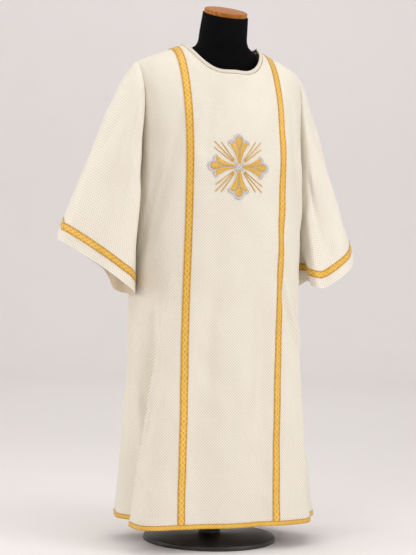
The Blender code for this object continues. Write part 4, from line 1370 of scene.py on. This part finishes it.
class Emblem:
    """The cross on the chest: a pearl ground, gold petals, silver borders and gold rays."""

    aside = -0.0028
    height = 1.006
    reach = 0.0873
    ray_start = 0.240
    ray_half_width = 0.0160
    ground_lift = 0.0005
    ground_thickness = 0.0007
    ground_rows = 42
    ground_columns = 13
    thinnest = 0.003
    thread = 0.0003
    end_fullness = 0.25
    # along, half width: shares of the reach
    arm = ((0.0, 0.0), (0.060, 0.060), (0.12, 0.070), (0.24, 0.108), (0.38, 0.150), (0.50, 0.200),
           (0.58, 0.255), (0.64, 0.330), (0.70, 0.368), (0.76, 0.350), (0.805, 0.270), (0.83, 0.195),
           (0.90, 0.172), (0.965, 0.115), (1.0, 0.030))

    def __init__(self, chest: Chest, wardrobe: Wardrobe) -> None:
        """Remember where it lies and its threads."""
        self.chest = chest
        self.wardrobe = wardrobe

    @staticmethod
    def turned(points: np.ndarray, quarter: int) -> np.ndarray:
        """Turn flat points by quarter turns."""
        turn = math.pi / 2.0 * quarter
        matrix = np.array([[math.cos(turn), -math.sin(turn)], [math.sin(turn), math.cos(turn)]])
        return points @ matrix.T

    def stroke_mesh(self, stroke: Stroke, quarter: int, mirrored: bool, name: str) -> bpy.types.Mesh:
        """One satin shape laid on the chest, crowned across."""
        knots = np.array(stroke.spine)
        widths = np.array(stroke.half_widths)[:, None]
        line = soft_curve([tuple(row) for row in np.hstack([knots, widths])], stroke.steps)
        spine, half = line[:, :2] * self.reach, np.maximum(line[:, 2], self.thinnest) * self.reach
        ahead = unit(np.gradient(spine, axis=0))
        aside = np.stack([ahead[:, 1], -ahead[:, 0]], axis=1)
        part = np.linspace(-1.0, 1.0, stroke.across)
        flat = spine[:, None] + aside[:, None] * (half[:, None] * part)[..., None]
        if mirrored:
            flat = flat * np.array([-1.0, 1.0])
        cloth = self.chest.lay(self.turned(flat, quarter))
        length = path_lengths(spine)
        run = np.broadcast_to(length[:, None], (len(half), len(part)))
        cloth.flat = np.stack([half[:, None] * part, run], axis=-1)
        fullness = np.minimum(1.0, half / half.max() + self.end_fullness)[:, None]
        arch = np.sqrt(np.clip(1.0 - part ** 2, 0.0, 1.0))[None, :]
        thickness = self.thread + stroke.crown * fullness * arch
        return wall_mesh(name, cloth, thickness, self.ground_lift + stroke.base, flip=mirrored)

    def ground_mesh(self) -> bpy.types.Mesh:
        """The padded pearl ground of all four arms."""
        table = np.array(self.arm)
        along = np.concatenate([[0.0], np.linspace(table[1, 0], 1.0, self.ground_rows)])
        half = np.interp(along, table[:, 0], table[:, 1])
        half[2:-1] = 0.5 * half[2:-1] + 0.25 * (half[1:-2] + half[3:])
        part = np.linspace(-1.0, 1.0, self.ground_columns)
        meshes = []
        for quarter in range(4):
            flat = np.stack([half[:, None] * part, np.broadcast_to(along[:, None], (len(half), len(part)))],
                            axis=-1) * self.reach
            cloth = self.chest.lay(self.turned(flat, quarter))
            cloth.flat = flat
            thickness = np.full(flat.shape[:2], self.ground_thickness)
            meshes.append(wall_mesh("ground", cloth, thickness, self.ground_lift))
        return joined("emblem_ground", meshes)

    def build(self) -> None:
        """Make the ground, the petals, the borders and the rays."""
        ground = add_piece("emblem_ground", self.ground_mesh(), self.wardrobe.pearl, self.wardrobe.pearl)
        hand_over(ground, "applique", "cross_applique")
        gold, silver = [], []
        for quarter in range(4):
            for strokes, found in ((GOLD_STROKES, gold), (SILVER_STROKES, silver)):
                for stroke in strokes:
                    on_axis = all(across in (0.0, along) for across, along in stroke.spine)
                    for mirrored in ((False,) if on_axis else (False, True)):
                        found.append(self.stroke_mesh(stroke, quarter, mirrored, "stroke"))
            silver.append(self.stroke_mesh(AXIS_STROKE, quarter, False, "axis"))
            for tip in RAY_TIPS:
                far = np.array(tip)
                near = unit(far) * self.ray_start
                ray = Stroke((tuple(near), tuple((near + far) / 2.0), tuple(far)),
                             (self.ray_half_width,) * 3, 0.0013, 0.0, 22, 5)
                gold.append(self.stroke_mesh(ray, quarter, False, "ray"))
        for name, meshes, thread in (("emblem_gold", gold, self.wardrobe.gold),
                                     ("emblem_silver", silver, self.wardrobe.silver)):
            hand_over(add_piece(name, joined(name, meshes), thread, thread), "applique")


def joined(name: str, meshes: list[bpy.types.Mesh]) -> bpy.types.Mesh:
    """Put several meshes, which share a UV map's name, into one.

    Args:
        name: The new mesh's name.
        meshes: The meshes; they are used up.

    Returns:
        The joined mesh.
    """
    points, faces, lie, start = [], [], [], 0
    for mesh in meshes:
        place = np.empty(3 * len(mesh.vertices), dtype=np.float32)
        mesh.vertices.foreach_get("co", place)
        points.append(place.reshape(-1, 3))
        faces += [tuple(corner + start for corner in face.vertices) for face in mesh.polygons]
        flat = np.empty(2 * len(mesh.loops), dtype=np.float32)
        mesh.uv_layers["cloth"].data.foreach_get("uv", flat)
        lie.append(flat)
        start += len(mesh.vertices)
        bpy.data.meshes.remove(mesh)
    return make_mesh(name, np.concatenate(points), faces, np.concatenate(lie), SHARP_THREAD)


# ------------------------------------------------------------------ stitches along the braids

class StitchNodes:
    """A node group that lays small stitches end to end along a path."""

    def __init__(self) -> None:
        """Build the group with its named inputs."""
        self.group = bpy.data.node_groups.new("stitches", "GeometryNodeTree")
        sockets = (("Path", "Geometry", "INPUT"), ("Spacing", "Float", "INPUT"), ("Length", "Float", "INPUT"),
                   ("Width", "Float", "INPUT"), ("Thread", "Material", "INPUT"),
                   ("Stitches", "Geometry", "OUTPUT"))
        for name, kind, way in sockets:
            self.group.interface.new_socket(name, in_out=way, socket_type=f"NodeSocket{kind}")
        kinds = {"source": "NodeGroupInput", "curve": "GeometryNodeMeshToCurve",
                 "spots": "GeometryNodeCurveToPoints", "bead": "GeometryNodeMeshIcoSphere",
                 "size": "ShaderNodeCombineXYZ", "place": "GeometryNodeInstanceOnPoints",
                 "real": "GeometryNodeRealizeInstances", "smooth": "GeometryNodeSetShadeSmooth",
                 "paint": "GeometryNodeSetMaterial", "result": "NodeGroupOutput"}
        nodes = {word: self.group.nodes.new(kind) for word, kind in kinds.items()}
        nodes["spots"].mode = "LENGTH"
        nodes["bead"].inputs["Radius"].default_value = 0.5
        nodes["bead"].inputs["Subdivisions"].default_value = 2
        for start, output, end, entry in (
                ("source", "Path", "curve", "Mesh"), ("curve", "Curve", "spots", "Curve"),
                ("source", "Spacing", "spots", "Length"), ("source", "Width", "size", "X"),
                ("source", "Width", "size", "Y"), ("source", "Length", "size", "Z"),
                ("spots", "Points", "place", "Points"), ("spots", "Rotation", "place", "Rotation"),
                ("bead", "Mesh", "place", "Instance"), ("size", "Vector", "place", "Scale"),
                ("place", "Instances", "real", "Geometry"), ("real", "Geometry", "smooth", "Geometry"),
                ("smooth", "Geometry", "paint", "Geometry"), ("source", "Thread", "paint", "Material"),
                ("paint", "Geometry", "result", "Stitches")):
            self.group.links.new(nodes[start].outputs[output], nodes[end].inputs[entry])

    def along(self, name: str, lines: list[np.ndarray], sizes: tuple[float, float, float],
              thread: bpy.types.Material) -> bpy.types.Object:
        """Lay stitches along lines of points.

        Args:
            name: The piece's name.
            lines: Each line's points.
            sizes: Spacing, length and width.
            thread: The stitches' material.

        Returns:
            The stitches as a plain mesh.
        """
        edges, start = [], 0
        for line in lines:
            edges += [(start + step, start + step + 1) for step in range(len(line) - 1)]
            start += len(line)
        path = bpy.data.meshes.new(f"{name}_path")
        path.from_pydata(np.concatenate(lines).tolist(), edges, [])
        carrier = bpy.data.objects.new(f"{name}_path", path)
        bpy.context.scene.collection.objects.link(carrier)
        nodes = carrier.modifiers.new("stitches", "NODES")
        nodes.node_group = self.group
        values = dict(zip(("Spacing", "Length", "Width"), sizes), Thread=thread)
        for item in self.group.interface.items_tree:
            if item.name in values:
                nodes[item.identifier] = values[item.name]
        whole = carrier.evaluated_get(bpy.context.evaluated_depsgraph_get())
        mesh = bpy.data.meshes.new_from_object(whole)
        mesh.name = name
        bpy.data.objects.remove(carrier)
        mesh.materials.clear()
        return add_piece(name, mesh, thread)


# ------------------------------------------------------------------ the dress form

def lathe(name: str, profile: np.ndarray, sides: int = 72) -> bpy.types.Mesh:
    """A turned shape whose profile runs down from its top's middle to its bottom's middle.

    Args:
        name: The mesh's name.
        profile: Radius and height of each point; the first and the last have no radius.
        sides: How many sides it has.

    Returns:
        The closed mesh, facing outwards.
    """
    rings = profile[1:-1]
    place = places(len(rings), sides)
    top, bottom = place.size - len(rings), place.size - len(rings) + 1
    points = np.vstack([spin(rings, sides), (0.0, 0.0, profile[0][1]), (0.0, 0.0, profile[-1][1])])
    high, low = place[0].tolist(), place[-1].tolist()
    faces = quads(place.T).tolist()
    faces += [(top, here, there) for here, there in zip(high, high[1:])]
    faces += [(bottom, there, here) for here, there in zip(low, low[1:])]
    return make_mesh(name, points, faces)


def rounded(corners: list[tuple[float, float, float]], steps: int = 6) -> np.ndarray:
    """A profile with rounded corners.

    Args:
        corners: Radius, height and rounding of each corner.
        steps: How many points a rounded corner takes.

    Returns:
        The profile's points.
    """
    table = np.array(corners)
    points = [table[0, :2]]
    for before, here, after in zip(table, table[1:], table[2:]):
        if here[2] <= 0.0:
            points.append(here[:2])
            continue
        start = here[:2] + unit(before[:2] - here[:2]) * here[2]
        end = here[:2] + unit(after[:2] - here[:2]) * here[2]
        for share in np.linspace(0.0, 1.0, steps):
            points.append((1 - share) ** 2 * start + 2 * share * (1 - share) * here[:2] + share ** 2 * end)
    points.append(table[-1, :2])
    return np.array(points)


@dataclass(frozen=True)
class DressForm:
    """The limbless form: torso and neck, wooden cap, pole and round foot."""

    pole_radius: float = 0.014
    foot_radius: float = 0.180
    foot_rim: float = 0.012
    hub_radius: float = 0.030
    hub_height: float = 0.034
    cap_radius: float = 0.059
    cap_thickness: float = 0.012
    cap_tilt: float = 20.0
    cap_centre: tuple[float, float, float] = (0.0, -0.0235, 1.4275)
    roundness: float = 2.2
    gap: float = 0.0003
    sides: int = 72
    pole_sides: int = 40
    foot_sides: int = 96
    loft_rows: int = 90
    # height, half width, half depth, centre y, tilt
    rings: tuple[tuple[float, ...], ...] = (
        (0.660, 0.150, 0.098, 0.005, 0.0), (0.700, 0.168, 0.110, 0.005, 0.0),
        (0.780, 0.178, 0.118, 0.005, 0.0), (0.860, 0.162, 0.108, 0.005, 0.0),
        (0.930, 0.152, 0.100, 0.005, 0.0), (1.020, 0.168, 0.106, 0.004, 0.0),
        (1.100, 0.182, 0.108, 0.004, 0.0), (1.170, 0.188, 0.100, 0.006, 0.0),
        (1.235, 0.187, 0.084, 0.010, 0.0), (1.271, 0.179, 0.070, 0.015, 0.0),
        (1.295, 0.162, 0.062, 0.016, 0.0), (1.312, 0.135, 0.060, 0.014, 0.0),
        (1.325, 0.106, 0.060, 0.008, 0.0), (1.337, 0.080, 0.063, 0.001, 0.0),
        (1.355, 0.067, 0.064, -0.005, 0.0), (1.385, 0.064, 0.064, -0.012, 7.0),
        (1.427, 0.061, 0.061, -0.0235, 20.0))

    def torso(self) -> bpy.types.Mesh:
        """Torso and neck as one smooth closed loft."""
        table = soft_curve(list(self.rings), self.loft_rows)
        table[-1] = self.rings[-1]
        turn = np.linspace(0.0, 2.0 * math.pi, self.sides, endpoint=False)
        power = 2.0 / self.roundness
        across = signed_power(np.cos(turn), power)[None, :] * table[:, 1:2]
        depth = signed_power(np.sin(turn), power)[None, :] * table[:, 2:3]
        lean = np.radians(table[:, 4:5])
        grid = np.stack([across, table[:, 3:4] + depth * np.cos(lean), table[:, 0:1] + depth * np.sin(lean)],
                        axis=-1)
        place = places(len(grid), self.sides)
        faces = quads(place).tolist() + [place[0, -2::-1].tolist(), place[-1, :-1].tolist()]
        return make_mesh("form_body", grid.reshape(-1, 3), faces)

    def build(self, wardrobe: Wardrobe) -> None:
        """Make the form's four pieces."""
        hand_over(add_piece("form_body", self.torso(), wardrobe.jersey), "form_cloth", "form_torso")
        thick, radius = self.cap_thickness, self.cap_radius
        cap = lathe("form_cap", rounded([(0.0, thick, 0.0), (radius, thick, 0.0035), (radius, 0.0, 0.0025),
                                         (0.0, 0.0, 0.0)]))
        tilt = Matrix.Rotation(math.radians(self.cap_tilt), 4, "X")
        cap.transform(Matrix.Translation(Vector(self.cap_centre)) @ tilt)
        hand_over(add_piece("form_cap", cap, wardrobe.wood), "honey_wood", "neck_cap")
        pole_top, pole_foot = self.rings[0][0] - self.gap, self.hub_height + self.gap
        profile = np.array([(0.0, pole_top), (self.pole_radius, pole_top),
                            (self.pole_radius, pole_foot), (0.0, pole_foot)])
        pole = lathe("form_pole", profile, self.pole_sides)
        hand_over(add_piece("form_pole", pole, wardrobe.paint), "black_metal", "stand_pole")
        outline = [(0.0, self.hub_height, 0.0), (self.hub_radius, self.hub_height, 0.003),
                   (self.hub_radius, self.foot_rim + 0.006, 0.004), (self.foot_radius, self.foot_rim, 0.005),
                   (self.foot_radius, 0.0, 0.001), (0.0, 0.0, 0.0)]
        foot = lathe("form_foot", rounded(outline), self.foot_sides)
        hand_over(add_piece("form_foot", foot, wardrobe.paint), "black_metal", "stand_foot")


# ------------------------------------------------------------------ the studio

@dataclass(frozen=True)
class Lamp:
    """A soft box: where it stands, where it points, its size, power and colour."""

    name: str
    place: tuple[float, float, float]
    aim: tuple[float, float, float]
    size: tuple[float, float]
    power: float
    colour: tuple[float, float, float] = (1.0, 1.0, 1.0)

    def build(self) -> None:
        """Put it in the scene."""
        light = bpy.data.lights.new(self.name, "AREA")
        light.shape = "RECTANGLE"
        light.size, light.size_y = self.size
        light.energy = self.power
        light.color = self.colour
        lamp = bpy.data.objects.new(self.name, light)
        lamp.location = self.place
        way = Vector(self.aim) - Vector(self.place)
        lamp.rotation_euler = way.to_track_quat("-Z", "Y").to_euler()
        bpy.context.scene.collection.objects.link(lamp)


@dataclass(frozen=True)
class Studio:
    """A pale round sweep, soft boxes, and the camera."""

    turn: float = -21.6
    distance: float = 3.8
    eye_height: float = 0.713
    aside: float = -0.0208
    roll: float = 0.0253
    focal: float = 90.2
    floor_radius: float = 6.0
    bend: float = 1.6
    wall_height: float = 6.0
    floor_drop: float = 0.0006
    floor_eye: float = 0.02
    bend_steps: int = 14
    sides: int = 96
    air: tuple[float, ...] = (1.0, 0.96, 0.92, 1.0)
    air_strength: float = 0.56

    def spot(self, right: float, near: float, height: float) -> tuple[float, float, float]:
        """A place given to the right of, towards and above the pole's foot, as the camera sees it."""
        angle = math.radians(self.turn)
        return (math.cos(angle) * right + math.sin(angle) * near,
                math.sin(angle) * right - math.cos(angle) * near, height)

    def sweep(self, paper: bpy.types.Material) -> None:
        """The floor, bent up into a wall all round."""
        low = -self.floor_drop
        bend = [(self.floor_radius + self.bend * math.sin(a), low + self.bend * (1.0 - math.cos(a)))
                for a in np.linspace(0.0, math.pi / 2.0, self.bend_steps)]
        profile = [(self.floor_eye, low), *bend, (self.floor_radius + self.bend, self.wall_height)]
        place = places(len(profile), self.sides)
        faces = quads(place)[:, ::-1].tolist() + [place[0, :-1].tolist()]
        mesh = make_mesh("studio_sweep", spin(profile, self.sides), faces, sharp=None)
        add_piece("studio_sweep", mesh, paper)

    def camera(self) -> None:
        """The camera, level and turned a little, at the garment's front right."""
        lens = bpy.data.cameras.new("camera")
        lens.lens = self.focal
        camera = bpy.data.objects.new("camera", lens)
        camera.location = self.spot(self.aside, self.distance, self.eye_height)
        ahead = Vector(self.spot(0.0, -1.0, 0.0))
        level = ahead.to_track_quat("-Z", "Y").to_matrix()
        camera.rotation_euler = (level @ Matrix.Rotation(self.roll, 3, "Z")).to_euler()
        bpy.context.scene.collection.objects.link(camera)
        bpy.context.scene.camera = camera

    def build(self) -> None:
        """Put up the sweep, the lamps and the camera."""
        self.sweep(StudioPaper().material())
        middle = (0.0, 0.0, 0.80)
        warm, cool = (1.0, 0.987, 0.975), (0.95, 0.97, 1.0)
        lamps = (
            Lamp("key", self.spot(-1.7, 2.6, 2.7), middle, (1.8, 1.8), 27.5, warm),
            Lamp("fill", self.spot(2.9, 1.7, 1.7), middle, (1.8, 2.2), 48.0),
            Lamp("top", self.spot(0.2, 0.2, 3.6), middle, (2.4, 2.4), 29.0),
            Lamp("side", self.spot(-2.8, 0.2, 1.4), middle, (1.4, 2.0), 21.0, warm),
            Lamp("backdrop", self.spot(0.0, -3.2, 4.6), self.spot(0.0, -7.6, 2.0), (4.0, 1.2), 62.0, cool),
        )
        for lamp in lamps:
            lamp.build()
        world = bpy.data.worlds.new("studio_air")
        world.use_nodes = True
        sky = world.node_tree.nodes["Background"]
        sky.inputs["Color"].default_value = self.air
        sky.inputs["Strength"].default_value = self.air_strength
        bpy.context.scene.world = world
        self.camera()
        bpy.context.scene.view_settings.view_transform = "Standard"


def main() -> None:
    """Build the dalmatic, its form and the studio."""
    logging.basicConfig(level=logging.INFO, format="%(message)s")
    wardrobe = Wardrobe()
    DressForm().build(wardrobe)
    garment = Dalmatic(BodyCut(), wardrobe)
    garment.build()
    Emblem(Chest(garment.panels[Side.FRONT]), wardrobe).build()
    stitches = StitchNodes().along("braid_stitches", garment.edges, STITCH_SIZES, wardrobe.gold)
    hand_over(stitches, "gold_galloon")
    Studio().build()
    bpy.context.view_layer.update()


if __name__ == "__main__":
    main()
